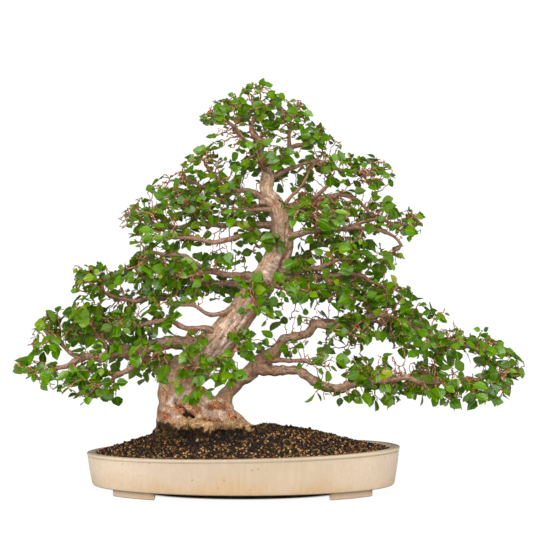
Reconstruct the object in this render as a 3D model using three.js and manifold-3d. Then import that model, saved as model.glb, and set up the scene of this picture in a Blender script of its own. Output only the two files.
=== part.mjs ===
// A Korean hornbeam bonsai in a shallow oval pot.
// The pot is one fired piece, and the wood is one grown piece: roots, two trunks and their limbs.
// Round the limb ends sit the pads of foliage, each a closed solid of the space its leaves fill.
// Millimetres, +Z up. The tree's front faces -Y, and it stands with its pot's feet on Z = 0.
import * as THREE from "three";
import { mergeVertices } from "three/addons/utils/BufferGeometryUtils.js";
import Module from "manifold-3d";

const wasm = await Module();
wasm.setup();

// Clearance between pieces that touch, and the wider one round the crooked wood.
const GAP = 0.4;
const WOOD_GAP = 0.8;

// Pot: an oval of fired clay on four low feet.
const POT_LENGTH = 623;
const POT_WIDTH = 460;
const POT_HEIGHT = 82;
const POT_FOOT_HEIGHT = 13;
const POT_FLOOR = 12;
const POT_WALL = 17;
const RIM_DEPTH = 5;
const RIM_OVERHANG = 3;
const BASE_INSET = 9;
const RIM_TILT = THREE.MathUtils.degToRad(1.1);
const POT_SIDES = 44;
const FOOT_FROM = THREE.MathUtils.degToRad(31);
const FOOT_TO = THREE.MathUtils.degToRad(54);
const FOOT_WIDTH = 34;
const FOOT_INSET = 4;
const DRAIN_RADIUS = 14;
const DRAIN_SPACING = 300;

// Plastic net over each drain hole.
const NET_SIZE = 44;
const NET_THICKNESS = 1.4;
const NET_CELLS = 3;
const NET_BAR = 3;

// Soil: nearly level with the rim at the wall, heaped up round the trunk.
const SOIL_BELOW_RIM = 4;
const HEAP_HEIGHT = 43;
const HEAP_CENTRE = { x: -15, y: 28 };
const HEAP_REACH = { x: 322, y: 215 };
const HEAP_FLAT = 0.3;
const COLLAR_HEIGHT = 4;
const COLLAR_REACH = 95;

// The place that the tree's front is composed for. A route gives each point's distance to the
// right, its depth behind the trunk, and its height, as they line up from this place.
const FRONT_EYE = { x: 46, y: -3300, z: 383 };

// Trunk, from under the soil to the fork below the apex: across, depth, height, radius.
const TRUNK = [
  [-97, 10, 84, 84],
  [-101, 10, 112, 80],
  [-105, 10, 139, 74],
  [-119, 10, 179, 56],
  [-127, 8, 207, 45],
  [-108, 4, 239, 37],
  [-77, -2, 271, 39],
  [-43, -8, 299, 34],
  [-23, -10, 329, 30],
  [-1, -8, 357, 28],
  [19, -4, 385, 28],
  [39, 2, 415, 27],
  [57, 6, 447, 25],
  [71, 6, 475, 25],
  [77, 2, 503, 23],
  [77, -4, 531, 21],
  [71, -8, 557, 20],
  [55, -8, 581, 17],
  [45, -4, 599, 13],
  [47, 0, 619, 14],
  [46, -2, 639, 10],
  [37, -10, 659, 9],
  [29, -20, 679, 8],
];

// The second trunk leans away to the right from the same base.
const SECOND_TRUNK = [
  [-75, 4, 140, 34],
  [-47, 2, 163, 27],
  [-35, 0, 189, 18],
  [-15, 0, 211, 16],
  [9, 2, 231, 17],
  [29, 4, 251, 18],
  [49, 4, 265, 17],
];

// Roots that leave the base over the soil and dive into it.
const ROOTS = [
  [[-62, -10, 146, 34], [-24, -24, 132, 26], [4, -32, 118, 18], [28, -38, 98, 10]],
  [[-118, -16, 136, 44], [-140, -52, 116, 34], [-152, -72, 90, 24]],
  [[-88, -18, 134, 44], [-80, -58, 114, 34], [-72, -80, 88, 24]],
  [[-130, 6, 138, 44], [-145, 2, 118, 32], [-152, 0, 90, 24]],
  [[-122, 34, 136, 42], [-142, 66, 116, 30], [-152, 84, 90, 20]],
  [[-78, 40, 136, 40], [-52, 74, 116, 28], [-38, 94, 90, 18]],
];

// Limbs, each from inside the wood that bears it to its last fork.
const LIMBS = [
  // Lowest on the left: the long main limb and its side branches.
  [
    [-84, -2, 287, 17], [-117, -10, 293, 13], [-147, -18, 295, 12], [-177, -24, 289, 12],
    [-207, -30, 279, 12], [-237, -34, 275, 11], [-271, -36, 269, 9], [-307, -34, 265, 7],
    [-329, -32, 262, 6], [-357, -30, 247, 4.4], [-383, -30, 233, 3.8], [-410, -30, 220, 3],
  ],
  [[-196, -30, 279, 7], [-212, -42, 255, 6], [-229, -54, 238, 5], [-262, -60, 223, 4], [-296, -62, 208, 3]],
  [[-325, -32, 261, 5], [-350, -22, 277, 4], [-374, -16, 300, 3.5], [-398, -12, 316, 3]],
  [[-262, -36, 270, 6], [-284, -6, 300, 5], [-306, 14, 332, 3.5]],
  [[-148, -20, 293, 5], [-156, -50, 284, 4], [-172, -78, 272, 3]],
  [
    [-114, 4, 249, 14], [-157, 24, 259, 11], [-187, 42, 259, 9], [-213, 62, 262, 7],
    [-256, 96, 284, 5], [-288, 124, 306, 3.5],
  ],
  // Short shoots before the trunk.
  [[-109, -30, 250, 6], [-101, -62, 252, 4], [-97, -86, 240, 3]],
  [[-22, -30, 326, 5], [-16, -52, 306, 4], [-12, -70, 292, 3]],
  [[20, -22, 384, 5], [25, -42, 374, 4], [28, -58, 366, 3]],
  // Thin limbs over the lowest one.
  [
    [-52, -22, 306, 7], [-75, -30, 323, 5.5], [-111, -32, 323, 5], [-141, -34, 335, 5],
    [-191, -38, 331, 4.5], [-232, -40, 328, 3.5],
  ],
  [[-20, -24, 360, 7], [-39, -34, 354, 5], [-75, -42, 352, 4], [-99, -46, 366, 3.5], [-138, -50, 369, 3]],
  // Left, middle height.
  [
    [18, 0, 404, 10], [-27, 10, 413, 8], [-77, 20, 409, 7], [-117, 24, 399, 6.4], [-157, 24, 385, 6],
    [-187, 20, 381, 5], [-247, 14, 383, 4.4], [-284, 10, 398, 3.4],
  ],
  [[-72, 20, 410, 5], [-96, 60, 422, 4.4], [-132, 122, 438, 3.4]],
  [
    [20, -4, 424, 8], [-57, -20, 435, 6.4], [-87, -30, 443, 6], [-107, -38, 455, 5.4],
    [-123, -44, 465, 5], [-157, -50, 473, 4.6], [-192, -50, 470, 4], [-206, -50, 448, 3],
  ],
  [[-52, -20, 435, 5], [-82, -46, 432, 4], [-114, -60, 425, 3]],
  // Left, upper middle.
  [
    [66, -6, 499, 10], [29, -16, 505, 7.4], [-5, -26, 508, 6.4], [-35, -36, 501, 6],
    [-63, -44, 497, 5.4], [-117, -54, 505, 4.4], [-160, -58, 503, 3.4],
  ],
  [
    [70, 2, 529, 9], [29, 8, 529, 7.4], [-39, 8, 529, 6.4], [-74, 4, 527, 6], [-109, 2, 529, 5.4],
    [-157, 0, 523, 5], [-198, 0, 540, 3.4],
  ],
  [[-70, 4, 528, 5], [-86, -22, 542, 4], [-112, -46, 557, 3]],
  [[62, -12, 560, 6], [14, -44, 560, 4.4], [-22, -58, 557, 3]],
  [[64, 0, 562, 7], [36, 26, 566, 6], [-24, 66, 576, 4.6], [-88, 108, 586, 3.4]],
  // Left, upper.
  [
    [48, -6, 576, 9], [13, -10, 595, 6.4], [-15, -12, 595, 5.4], [-43, -14, 597, 5],
    [-71, -16, 605, 4.4], [-115, -20, 618, 3.4],
  ],
  [[-38, -14, 598, 4.4], [-54, -22, 622, 3.8], [-74, -30, 650, 3]],
  [[-10, -12, 596, 4.4], [-26, -28, 606, 3.6], [-36, -38, 617, 3]],
  // The apex.
  [[30, -18, 674, 8], [4, -24, 699, 5], [-14, -30, 722, 4.4], [-34, -38, 744, 3]],
  [[30, -18, 674, 8], [37, -20, 691, 6], [16, -18, 712, 5], [16, -16, 740, 4], [22, -15, 764, 3]],
  [
    [46, 0, 636, 9], [60, -4, 655, 7.4], [80, -8, 663, 6.4], [94, -10, 683, 5.4],
    [123, -10, 693, 4.4], [142, -10, 698, 3.4],
  ],
  [[92, -10, 680, 5], [92, -15, 706, 4], [93, -20, 738, 3]],
  [[38, -8, 657, 6], [32, 28, 688, 5], [22, 54, 714, 3.6]],
  [[46, -4, 638, 5], [38, -32, 648, 4], [29, -56, 661, 3]],
  // Right, upper.
  [[48, 0, 622, 7], [90, 2, 639, 5], [133, 2, 655, 4.4], [199, 0, 641, 4], [250, 0, 629, 3]],
  [
    [74, 2, 556, 11], [123, 8, 571, 8], [154, 10, 579, 7], [197, 12, 588, 5.4],
    [226, 12, 576, 4.4], [250, 10, 552, 3],
  ],
  [[132, 8, 573, 6], [144, 52, 570, 5], [150, 108, 563, 3.4]],
  // Right, upper middle.
  [
    [76, -4, 500, 9], [121, -18, 514, 7], [147, -20, 519, 6.4], [203, -16, 523, 5.6],
    [251, -8, 541, 4.6], [293, -4, 533, 4], [336, 0, 524, 3],
  ],
  [[140, -20, 518, 5], [148, -38, 532, 4], [152, -50, 541, 3]],
  [[200, -16, 523, 5], [258, -22, 521, 4.4], [301, -16, 507, 3.6], [312, -6, 486, 3], [292, 6, 464, 3]],
  // Right, middle.
  [[60, 0, 440, 10], [113, -8, 436, 7], [161, -20, 449, 6], [198, -28, 460, 3.4]],
  [
    [50, 2, 428, 10], [117, 4, 423, 7], [165, 6, 429, 6], [203, 8, 432, 5.4], [246, 10, 424, 4.6],
    [282, 10, 402, 3.4],
  ],
  [[160, 6, 428, 5], [176, -8, 410, 4], [190, -18, 395, 3]],
  [[36, -14, 412, 6], [64, -36, 406, 4.4], [94, -56, 397, 3]],
  [[42, 14, 414, 8], [74, 46, 414, 6.4], [132, 92, 410, 5], [188, 130, 403, 3.4]],
  // Right, lowest: the upper and the lower arm of the second trunk.
  [
    [44, 4, 262, 14], [65, 6, 277, 11], [80, 6, 299, 8.4], [127, 2, 315, 7.4], [147, -2, 332, 7],
    [175, -6, 331, 7], [205, -8, 341, 6.6], [243, -4, 347, 6.2], [281, 4, 347, 6], [318, 12, 336, 5.4],
    [356, 2, 317, 4.6], [396, -12, 297, 4.4], [436, -4, 286, 4], [478, 8, 278, 3],
  ],
  [[196, -8, 340, 5], [204, -24, 330, 4], [212, -38, 318, 3]],
  [[140, -2, 330, 6.4], [176, 56, 337, 5.4], [236, 106, 336, 4.4], [282, 142, 332, 3.4]],
  [[76, 6, 296, 5], [80, 32, 291, 4], [78, 58, 282, 3]],
  [
    [24, 2, 244, 14], [61, -6, 238, 9.4], [89, -14, 237, 8.6], [113, -20, 237, 8.4], [131, -26, 226, 8.4],
    [151, -32, 212, 8.4], [189, -42, 204, 8.2], [214, -48, 212, 7.4], [253, -54, 216, 7],
    [307, -56, 224, 6], [351, -54, 218, 5], [390, -50, 214, 5], [433, -44, 220, 4.4], [478, -28, 220, 4],
    [512, -14, 222, 3],
  ],
  [[44, -2, 260, 8], [85, -16, 260, 4.4], [119, -32, 257, 4], [150, -46, 254, 3]],
  [[206, -46, 210, 5], [236, 0, 216, 4.6], [292, 66, 224, 4], [328, 106, 226, 3.4]],
];

// A limb thicker than this at its start has six sides, and a thinner one five.
const THICK_LIMB = 8.5;

// Foliage pads: across, depth and height of the middle, then half its length, depth and height.
const PADS = {
  apex_top: [23, -15, 771, 58, 62, 47],
  apex_left: [-40, -38, 747, 55, 58, 37],
  apex_right: [95, -20, 743, 50, 60, 48],
  apex_shoulder: [145, -10, 697, 52, 62, 36],
  apex_front: [28, -62, 664, 30, 30, 26],
  apex_back: [22, 66, 722, 76, 44, 44],
  left_6_inner: [-77, -30, 657, 60, 64, 33],
  left_6_tip: [-124, -20, 611, 68, 72, 32],
  left_6_front: [-37, -48, 619, 44, 42, 34],
  left_5_tip: [-207, 0, 545, 66, 78, 36],
  left_5_inner: [-117, -50, 560, 68, 66, 33],
  left_5_front: [-27, -60, 556, 46, 42, 28],
  left_4: [-169, -58, 500, 62, 66, 29],
  left_3_tip: [-294, 10, 417, 58, 78, 38],
  left_3_upper: [-207, -46, 437, 56, 66, 32],
  left_3_inner: [-117, -60, 424, 62, 58, 32],
  left_2: [-145, -50, 373, 50, 46, 22],
  left_1_crown: [-397, -10, 312, 54, 76, 56],
  left_1_upper: [-312, 16, 337, 62, 80, 45],
  left_1_middle: [-236, -40, 329, 48, 60, 33],
  left_1_tip: [-421, -30, 238, 48, 58, 36],
  left_1_hanging: [-309, -62, 213, 58, 58, 46],
  left_1_inner: [-177, -80, 270, 46, 36, 38],
  trunk_low_front: [-97, -92, 234, 56, 36, 44],
  trunk_middle_front: [-11, -74, 290, 44, 34, 38],
  trunk_upper_front: [28, -62, 364, 34, 30, 34],
  right_6_inner: [163, 0, 646, 48, 70, 36],
  right_6_tip: [260, 0, 627, 48, 78, 40],
  right_5_inner: [153, -52, 545, 76, 60, 43],
  right_5_middle: [253, 10, 541, 68, 78, 46],
  right_5_tip: [336, 0, 531, 37, 60, 42],
  right_4_inner: [203, -30, 461, 58, 66, 36],
  right_4_tip: [281, 10, 456, 44, 68, 30],
  right_3_front: [100, -62, 395, 58, 52, 34],
  right_3_inner: [192, -20, 390, 64, 66, 34],
  right_3_tip: [282, 10, 385, 46, 72, 42],
  right_2_inner: [213, -42, 315, 58, 60, 33],
  right_2_middle: [323, 18, 320, 60, 78, 38],
  right_2_outer: [395, -16, 292, 60, 74, 38],
  right_2_end: [474, 10, 281, 58, 70, 34],
  right_1_tip: [514, -12, 229, 56, 62, 48],
  right_1_outer: [418, -50, 204, 70, 70, 44],
  right_1_inner: [266, -58, 229, 68, 62, 46],
  right_1_fork: [150, -50, 256, 46, 38, 24],
  right_2_behind: [78, 64, 281, 34, 36, 22],
  back_left_low: [-302, 138, 318, 66, 58, 40],
  back_left_middle: [-142, 142, 440, 74, 60, 38],
  back_left_high: [-104, 126, 588, 66, 54, 36],
  back_right_high: [152, 128, 562, 76, 54, 42],
  back_right_middle: [204, 150, 402, 78, 60, 42],
  back_right_low: [298, 160, 330, 70, 58, 38],
  back_right_base: [340, 118, 226, 66, 50, 38],
};
const PAD_FULLNESS = { length: 1.1, depth: 1.22, height: 1.06 };
const PAD_UNDERSIDE = 0.75;
const PAD_SIDES = 9;
const PAD_RINGS = 5;

// Moss at the foot of the trunk: across, depth, height of the middle, then half sizes.
const MOSS = {
  moss_left: [-158, -78, 114, 52, 26, 18],
  moss_right: [48, -18, 118, 42, 30, 18],
};

const COLOURS = {
  pot: "#dcc6a6",
  soil: "#6f5136",
  wood: "#b49a80",
  moss: "#4c5a26",
  net: "#22231f",
  foliage: "#4d8526",
};

// A geometry's shared corners are merged, and it becomes a solid.
function solidOf(geometry) {
  const bare = geometry.clone();
  bare.deleteAttribute("normal");
  bare.deleteAttribute("uv");
  const merged = mergeVertices(bare, 1e-4);
  return new wasm.Manifold(
    new wasm.Mesh({
      numProp: 3,
      vertProperties: merged.attributes.position.array,
      triVerts: new Uint32Array(merged.index.array),
    }),
  );
}

function geometryOf(solid) {
  const mesh = solid.getMesh();
  const geometry = new THREE.BufferGeometry();
  geometry.setAttribute("position", new THREE.BufferAttribute(mesh.vertProperties, 3));
  geometry.setIndex(new THREE.BufferAttribute(mesh.triVerts, 1));
  geometry.computeVertexNormals();
  return geometry;
}

// Moves every corner of a geometry to where place(corner) puts it.
function reshape(geometry, place) {
  const positions = geometry.attributes.position;
  const corner = new THREE.Vector3();
  for (let i = 0; i < positions.count; i++) {
    corner.fromBufferAttribute(positions, i);
    place(corner);
    positions.setXYZ(i, corner.x, corner.y, corner.z);
  }
  return geometry;
}

function largestBody(solid) {
  const bodies = solid.decompose();
  return bodies.reduce((best, body) => (body.volume() > best.volume() ? body : best));
}

function joined(solids) {
  return solids.reduce((whole, solid) => whole.add(solid));
}

// A point given as it lines up from the front: the deeper it lies, the further out it is set.
function seen(across, depth, height) {
  const stretch = 1 + depth / -FRONT_EYE.y;
  return new THREE.Vector3(
    FRONT_EYE.x + (across - FRONT_EYE.x) * stretch,
    depth,
    FRONT_EYE.z + (height - FRONT_EYE.z) * stretch,
  );
}

// Height of the pot's tilted rim, and of the soil, over a point.
function rimHeight(x) {
  return POT_HEIGHT + x * Math.tan(RIM_TILT);
}

function soilHeight(x, y) {
  const out = Math.hypot((x - HEAP_CENTRE.x) / HEAP_REACH.x, (y - HEAP_CENTRE.y) / HEAP_REACH.y);
  const heap = HEAP_HEIGHT * THREE.MathUtils.smoothstep(1 - out, 0, 1 - HEAP_FLAT);
  const [trunkX, trunkY] = TRUNK[0];
  const fromTrunk = Math.hypot(x - trunkX, y - trunkY) / COLLAR_REACH;
  const collar = COLLAR_HEIGHT * Math.exp(-fromTrunk * fromTrunk);
  return rimHeight(x) - SOIL_BELOW_RIM + heap + collar;
}

// A solid turned from a profile of [radius, height] points, then squeezed to the pot's oval.
function ovalTurning(profile, place) {
  const points = profile.map(([radius, height]) => new THREE.Vector2(radius, height));
  const turned = new THREE.LatheGeometry(points, POT_SIDES).rotateX(Math.PI / 2);
  return reshape(turned, (corner) => {
    corner.y *= POT_WIDTH / POT_LENGTH;
    place(corner);
  });
}

function makePot() {
  const outside = POT_LENGTH / 2;
  const rimStart = POT_HEIGHT - RIM_DEPTH;
  const middle = (POT_FOOT_HEIGHT + POT_HEIGHT) / 2;
  const floorTop = POT_FOOT_HEIGHT + POT_FLOOR;
  const profile = [
    [0, POT_FOOT_HEIGHT],
    [outside - BASE_INSET - 12, POT_FOOT_HEIGHT],
    [outside - BASE_INSET, POT_FOOT_HEIGHT + 4],
    [outside - RIM_OVERHANG - 1, middle],
    [outside - RIM_OVERHANG, rimStart],
    [outside, rimStart + 1],
    [outside, POT_HEIGHT - 1],
    [outside - 1.5, POT_HEIGHT],
    [outside - POT_WALL + 1.5, POT_HEIGHT],
    [outside - POT_WALL, POT_HEIGHT - 1.5],
    [outside - POT_WALL - 3, middle],
    [outside - POT_WALL - 8, floorTop],
    [0, floorTop],
  ];
  const shell = ovalTurning(profile, (corner) => {
    const rise = THREE.MathUtils.clamp((corner.z - floorTop) / (POT_HEIGHT - floorTop), 0, 1);
    corner.z += rise * corner.x * Math.tan(RIM_TILT);
  });
  const feet = [
    makeFoot(FOOT_FROM, FOOT_TO),
    makeFoot(Math.PI - FOOT_TO, Math.PI - FOOT_FROM),
    makeFoot(Math.PI + FOOT_FROM, Math.PI + FOOT_TO),
    makeFoot(-FOOT_TO, -FOOT_FROM),
  ];
  const drains = [-0.5, 0.5].map((share) =>
    solidOf(
      new THREE.CylinderGeometry(DRAIN_RADIUS, DRAIN_RADIUS, POT_HEIGHT, 24)
        .rotateX(Math.PI / 2)
        .translate(share * DRAIN_SPACING, 0, 0),
    ),
  );
  return solidOf(shell).add(joined(feet)).subtract(joined(drains));
}

// One foot: a stretch of the oval's edge, from one angle to the other.
function makeFoot(from, to) {
  const longRadius = POT_LENGTH / 2 - BASE_INSET - FOOT_INSET;
  const shortRadius = POT_WIDTH / 2 - BASE_INSET - FOOT_INSET;
  const outline = new THREE.Shape();
  outline.absellipse(0, 0, longRadius, shortRadius, from, to, false);
  outline.absellipse(0, 0, longRadius - FOOT_WIDTH, shortRadius - FOOT_WIDTH, to, from, true);
  return solidOf(
    new THREE.ExtrudeGeometry(outline, {
      depth: POT_FOOT_HEIGHT + POT_FLOOR / 2,
      bevelEnabled: false,
      curveSegments: 6,
    }),
  );
}

// The net over one drain hole, or with extra the plain plate of room that it needs.
function makeNet(centreX, extra = 0) {
  const side = NET_SIZE + 2 * extra;
  const height = POT_FOOT_HEIGHT + POT_FLOOR + GAP + NET_THICKNESS / 2;
  const plate = new THREE.BoxGeometry(side, side, NET_THICKNESS + 2 * extra);
  const net = solidOf(plate.translate(centreX, 0, height));
  if (extra) return net;
  const pitch = (NET_SIZE - NET_BAR) / NET_CELLS;
  const cells = [];
  for (let row = 0; row < NET_CELLS; row++) {
    for (let column = 0; column < NET_CELLS; column++) {
      const cell = new THREE.BoxGeometry(pitch - NET_BAR, pitch - NET_BAR, NET_SIZE);
      const fromMiddle = (NET_CELLS - 1) / 2;
      cell.translate(centreX + (column - fromMiddle) * pitch, (row - fromMiddle) * pitch, height);
      cells.push(solidOf(cell));
    }
  }
  return net.subtract(joined(cells));
}

function makeSoil() {
  const bottom = POT_FOOT_HEIGHT + POT_FLOOR + GAP;
  const widest = POT_LENGTH / 2 - POT_WALL - GAP;
  const topRings = 6;
  const profile = [[0, bottom], [widest - 8, bottom], [widest - 3, (bottom + POT_HEIGHT) / 2]];
  for (let ring = 0; ring <= topRings; ring++) {
    profile.push([widest * (1 - ring / topRings), POT_HEIGHT]);
  }
  const narrow = (POT_WIDTH / 2 - POT_WALL - GAP) / (POT_WIDTH / 2) / (widest / (POT_LENGTH / 2));
  return solidOf(
    ovalTurning(profile, (corner) => {
      corner.y *= Math.min(1, narrow);
      if (corner.z > POT_HEIGHT - 1) corner.z = soilHeight(corner.x, corner.y);
    }),
  );
}

// A cylinder bent along a route, as thick at each point as the route says.
function branch(route, { sides = 6, spacing = 46, extra = 0, swelling = () => 1 } = {}) {
  const curve = new THREE.CatmullRomCurve3(
    route.map(([across, depth, height]) => seen(across, depth, height)),
    false,
    "centripetal",
  );
  const steps = Math.max(route.length - 1, Math.ceil(curve.getLength() / spacing));
  const frames = curve.computeFrenetFrames(steps);
  const stock = new THREE.CylinderGeometry(1, 1, 1, sides, steps);
  return solidOf(
    reshape(stock, (corner) => {
      const step = Math.round((0.5 - corner.y) * steps);
      const share = step / steps;
      const place = curve.getUtoTmapping(share) * (route.length - 1);
      const before = Math.min(Math.floor(place), route.length - 2);
      const thick = THREE.MathUtils.lerp(route[before][3], route[before + 1][3], place - before);
      const angle = Math.atan2(corner.z, corner.x);
      const radius = thick * swelling(angle, share) + extra;
      const [out, up] = [corner.x * radius, corner.z * radius];
      corner.copy(curve.getPointAt(share));
      corner.addScaledVector(frames.normals[step], out);
      corner.addScaledVector(frames.binormals[step], up);
      if (step === 0) corner.addScaledVector(frames.tangents[step], -extra);
      if (step === steps) corner.addScaledVector(frames.tangents[step], extra);
    }),
  );
}

// Hollows and ridges that run up the trunk and fade out by a third of its height.
function trunkSwelling(angle, share) {
  const strength = Math.max(0, 1 - share / 0.35);
  return 1 + strength * (0.07 * Math.sin(3 * angle + 1.1) + 0.05 * Math.sin(5 * angle + 2.3));
}

function makeWood(extra = 0) {
  return joined([
    branch(TRUNK, { sides: 14, spacing: 26, extra, swelling: trunkSwelling }),
    branch(SECOND_TRUNK, { sides: 10, spacing: 24, extra }),
    ...ROOTS.map((route) => branch(route, { sides: 8, spacing: 24, extra })),
    ...LIMBS.map((route) => branch(route, { sides: route[0][3] > THICK_LIMB ? 6 : 5, extra })),
  ]);
}

// A pad: a lumpy dome, flatter below, grown by extra on every side.
function makePad([across, depth, height, halfLength, halfDepth, halfHeight], turn, extra = 0) {
  const centre = seen(across, depth, height);
  const ball = new THREE.SphereGeometry(1, PAD_SIDES, PAD_RINGS).rotateX(Math.PI / 2);
  return solidOf(
    reshape(ball, (corner) => {
      const angle = Math.atan2(corner.y, corner.x);
      const level = Math.sqrt(Math.max(0, 1 - corner.z * corner.z));
      const lump = 1 + 0.06 * level * Math.sin(3 * angle + turn);
      const drop = corner.z < 0 ? PAD_UNDERSIDE : 1;
      corner.x *= halfLength * PAD_FULLNESS.length * lump + extra;
      corner.y *= halfDepth * PAD_FULLNESS.depth * lump + extra;
      corner.z *= halfHeight * PAD_FULLNESS.height * drop + extra;
      corner.add(centre);
    }),
  );
}

function makeMoss([across, depth, height, halfLength, halfDepth, halfHeight]) {
  const ball = new THREE.SphereGeometry(1, 10, 5).rotateX(Math.PI / 2);
  ball.scale(halfLength, halfDepth, halfHeight);
  ball.translate(across, depth, height);
  return solidOf(ball);
}

function mesh(name, solid, colour, roughness) {
  const material = new THREE.MeshStandardMaterial({ color: colour, roughness, metalness: 0 });
  const made = new THREE.Mesh(geometryOf(solid), material);
  made.name = name;
  return made;
}

const wood = makeWood();
const roomForWood = makeWood(WOOD_GAP);
const nets = { drain_net_left: -DRAIN_SPACING / 2, drain_net_right: DRAIN_SPACING / 2 };
const roomForNets = joined(Object.values(nets).map((x) => makeNet(x, GAP)));
const soil = largestBody(makeSoil().subtract(roomForWood).subtract(roomForNets));

const bonsai = new THREE.Group();
bonsai.add(mesh("pot", makePot(), COLOURS.pot, 0.45));
bonsai.add(mesh("soil", soil, COLOURS.soil, 0.95));
bonsai.add(mesh("trunk_and_limbs", wood, COLOURS.wood, 0.85));
for (const [name, x] of Object.entries(nets)) {
  bonsai.add(mesh(name, makeNet(x), COLOURS.net, 0.7));
}

// Moss lies on the soil, so the soil's own shape, raised by the gap, is taken out of it.
const raisedSoil = makeSoil().translate([0, 0, GAP]);
for (const [name, lump] of Object.entries(MOSS)) {
  const patch = makeMoss(lump).subtract(raisedSoil).subtract(roomForWood);
  bonsai.add(mesh(name, largestBody(patch), COLOURS.moss, 0.95));
}

// Each pad makes room for the wood and for the pads placed before it.
const placed = [];
Object.entries(PADS).forEach(([name, size], turn) => {
  const room = makePad(size, turn, GAP);
  const box = room.boundingBox();
  const near = placed.filter((other) =>
    [0, 1, 2].every((axis) => other.box.min[axis] < box.max[axis] && other.box.max[axis] > box.min[axis]),
  );
  let pad = makePad(size, turn).subtract(roomForWood);
  for (const other of near) {
    pad = pad.subtract(other.room);
  }
  placed.push({ room, box });
  bonsai.add(mesh("leaf_pad_" + name, largestBody(pad), COLOURS.foliage, 0.5));
});

// The origin is under the middle of the whole plant's box, on the ground.
const whole = new THREE.Box3().setFromObject(bonsai);
const middle = whole.getCenter(new THREE.Vector3());
bonsai.position.set(-middle.x, -middle.y, -whole.min.z);

export default bonsai;
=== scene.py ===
# A Korean hornbeam bonsai in a shallow oval pot.
# The tables of routes are in millimetres, as in the CAD model, and place() turns them to metres.
import math
import random

import bpy
import numpy as np
from mathutils import Matrix, Vector, noise
from mathutils.bvhtree import BVHTree
from mathutils.kdtree import KDTree


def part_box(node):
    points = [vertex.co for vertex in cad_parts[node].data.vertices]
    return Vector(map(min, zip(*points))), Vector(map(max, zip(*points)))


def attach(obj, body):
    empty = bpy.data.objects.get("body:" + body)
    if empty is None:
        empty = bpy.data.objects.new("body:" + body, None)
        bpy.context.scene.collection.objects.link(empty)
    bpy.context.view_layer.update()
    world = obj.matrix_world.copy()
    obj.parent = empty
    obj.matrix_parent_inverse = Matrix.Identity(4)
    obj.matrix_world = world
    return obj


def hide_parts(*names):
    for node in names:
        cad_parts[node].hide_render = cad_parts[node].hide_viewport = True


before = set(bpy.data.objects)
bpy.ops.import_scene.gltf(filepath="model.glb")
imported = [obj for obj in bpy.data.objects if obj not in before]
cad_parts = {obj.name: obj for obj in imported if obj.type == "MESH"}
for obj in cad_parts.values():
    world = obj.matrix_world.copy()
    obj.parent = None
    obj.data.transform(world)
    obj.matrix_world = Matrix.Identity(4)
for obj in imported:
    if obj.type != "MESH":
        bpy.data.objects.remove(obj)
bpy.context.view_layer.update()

MM = 0.001
UP = Vector((0, 0, 1))
chance = random.Random(23)
noise.seed_set(23)

# The pot's middle, from which the routes are measured.
pot_low, pot_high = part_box("pot")
POT_X = (pot_low.x + pot_high.x) / 2

# The place that the tree's front is composed for, and where the camera stands.
FRONT_EYE = (46, -3300, 383)
FRONT_AIM = (46, 0, 446)
PICTURE_WIDTH = 1066

# Pot
POT_LENGTH = 623
POT_WIDTH = 460
POT_HEIGHT = 82
POT_FOOT_HEIGHT = 13
POT_FLOOR = 12
BASE_INSET = 21
RIM_TILT = math.radians(1.1)
POT_SIDES = 144

# Feet: the angles between which one lies, how its band is inset, and its two drops. Then its rounded edge,
# how far its ends are squared, and its outer limit as a share of the pot's oval.
FOOT_FROM = 27.5
FOOT_TO = 52.5
FOOT_MARGIN = 1.2
FOOT_BAND = 27
FOOT_DROPS = (9, 4)
FOOT_ROUNDING = 1.4
FOOT_SQUARE = 13
FOOT_OUTER = 0.9

# Drain holes
DRAIN_RADIUS = 14
DRAIN_SPACING = 300

# Soil, heaped up round the trunk, with its grains and the tufts of moss on it
SOIL_BELOW_RIM = 4
HEAP_HEIGHT = 43
HEAP_CENTRE = (-15, 28)
HEAP_REACH = (322, 215)
HEAP_FLAT = 0.3
COLLAR_HEIGHT = 4
COLLAR_REACH = 95
SOIL_WALL = 19
SOIL_REACH = (POT_LENGTH / 2 - SOIL_WALL, POT_WIDTH / 2 - SOIL_WALL)
GRAIN_SHAPES = 8
GRAIN_SINK = 1
MOSS_TUFTS = 420

# The line through the dark peaty ground round the trunk's foot: across and depth.
PEAT_LINE = [(-150, 30), (-160, -40), (-110, -78), (-40, -76), (20, -40), (58, 0), (92, 22)]
PEAT_REACH = 38

# Trunk, from under the soil to the fork below the apex: across, depth, height, radius.
TRUNK = [
    (-97, 10, 84, 84), (-101, 10, 112, 80), (-105, 10, 139, 74), (-120, 10, 179, 53),
    (-127, 8, 207, 41), (-109, 4, 239, 34), (-77, -2, 271, 36), (-43, -8, 299, 34),
    (-23, -10, 329, 30), (-1, -8, 357, 28), (19, -4, 385, 28), (39, 2, 415, 27),
    (57, 6, 447, 25), (71, 6, 475, 25), (77, 2, 503, 23), (77, -4, 531, 21),
    (71, -8, 557, 20), (55, -8, 581, 17), (45, -4, 599, 13), (47, 0, 619, 14),
    (46, -2, 639, 10), (37, -10, 659, 9), (29, -20, 679, 8),
]

# The second trunk leans away to the right from the same base.
SECOND_TRUNK = [
    (-75, 4, 140, 34), (-47, 2, 163, 27), (-35, 0, 189, 16), (-15, 0, 211, 13.5),
    (9, 2, 231, 15), (29, 4, 251, 18), (49, 4, 265, 17),
]

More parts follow.
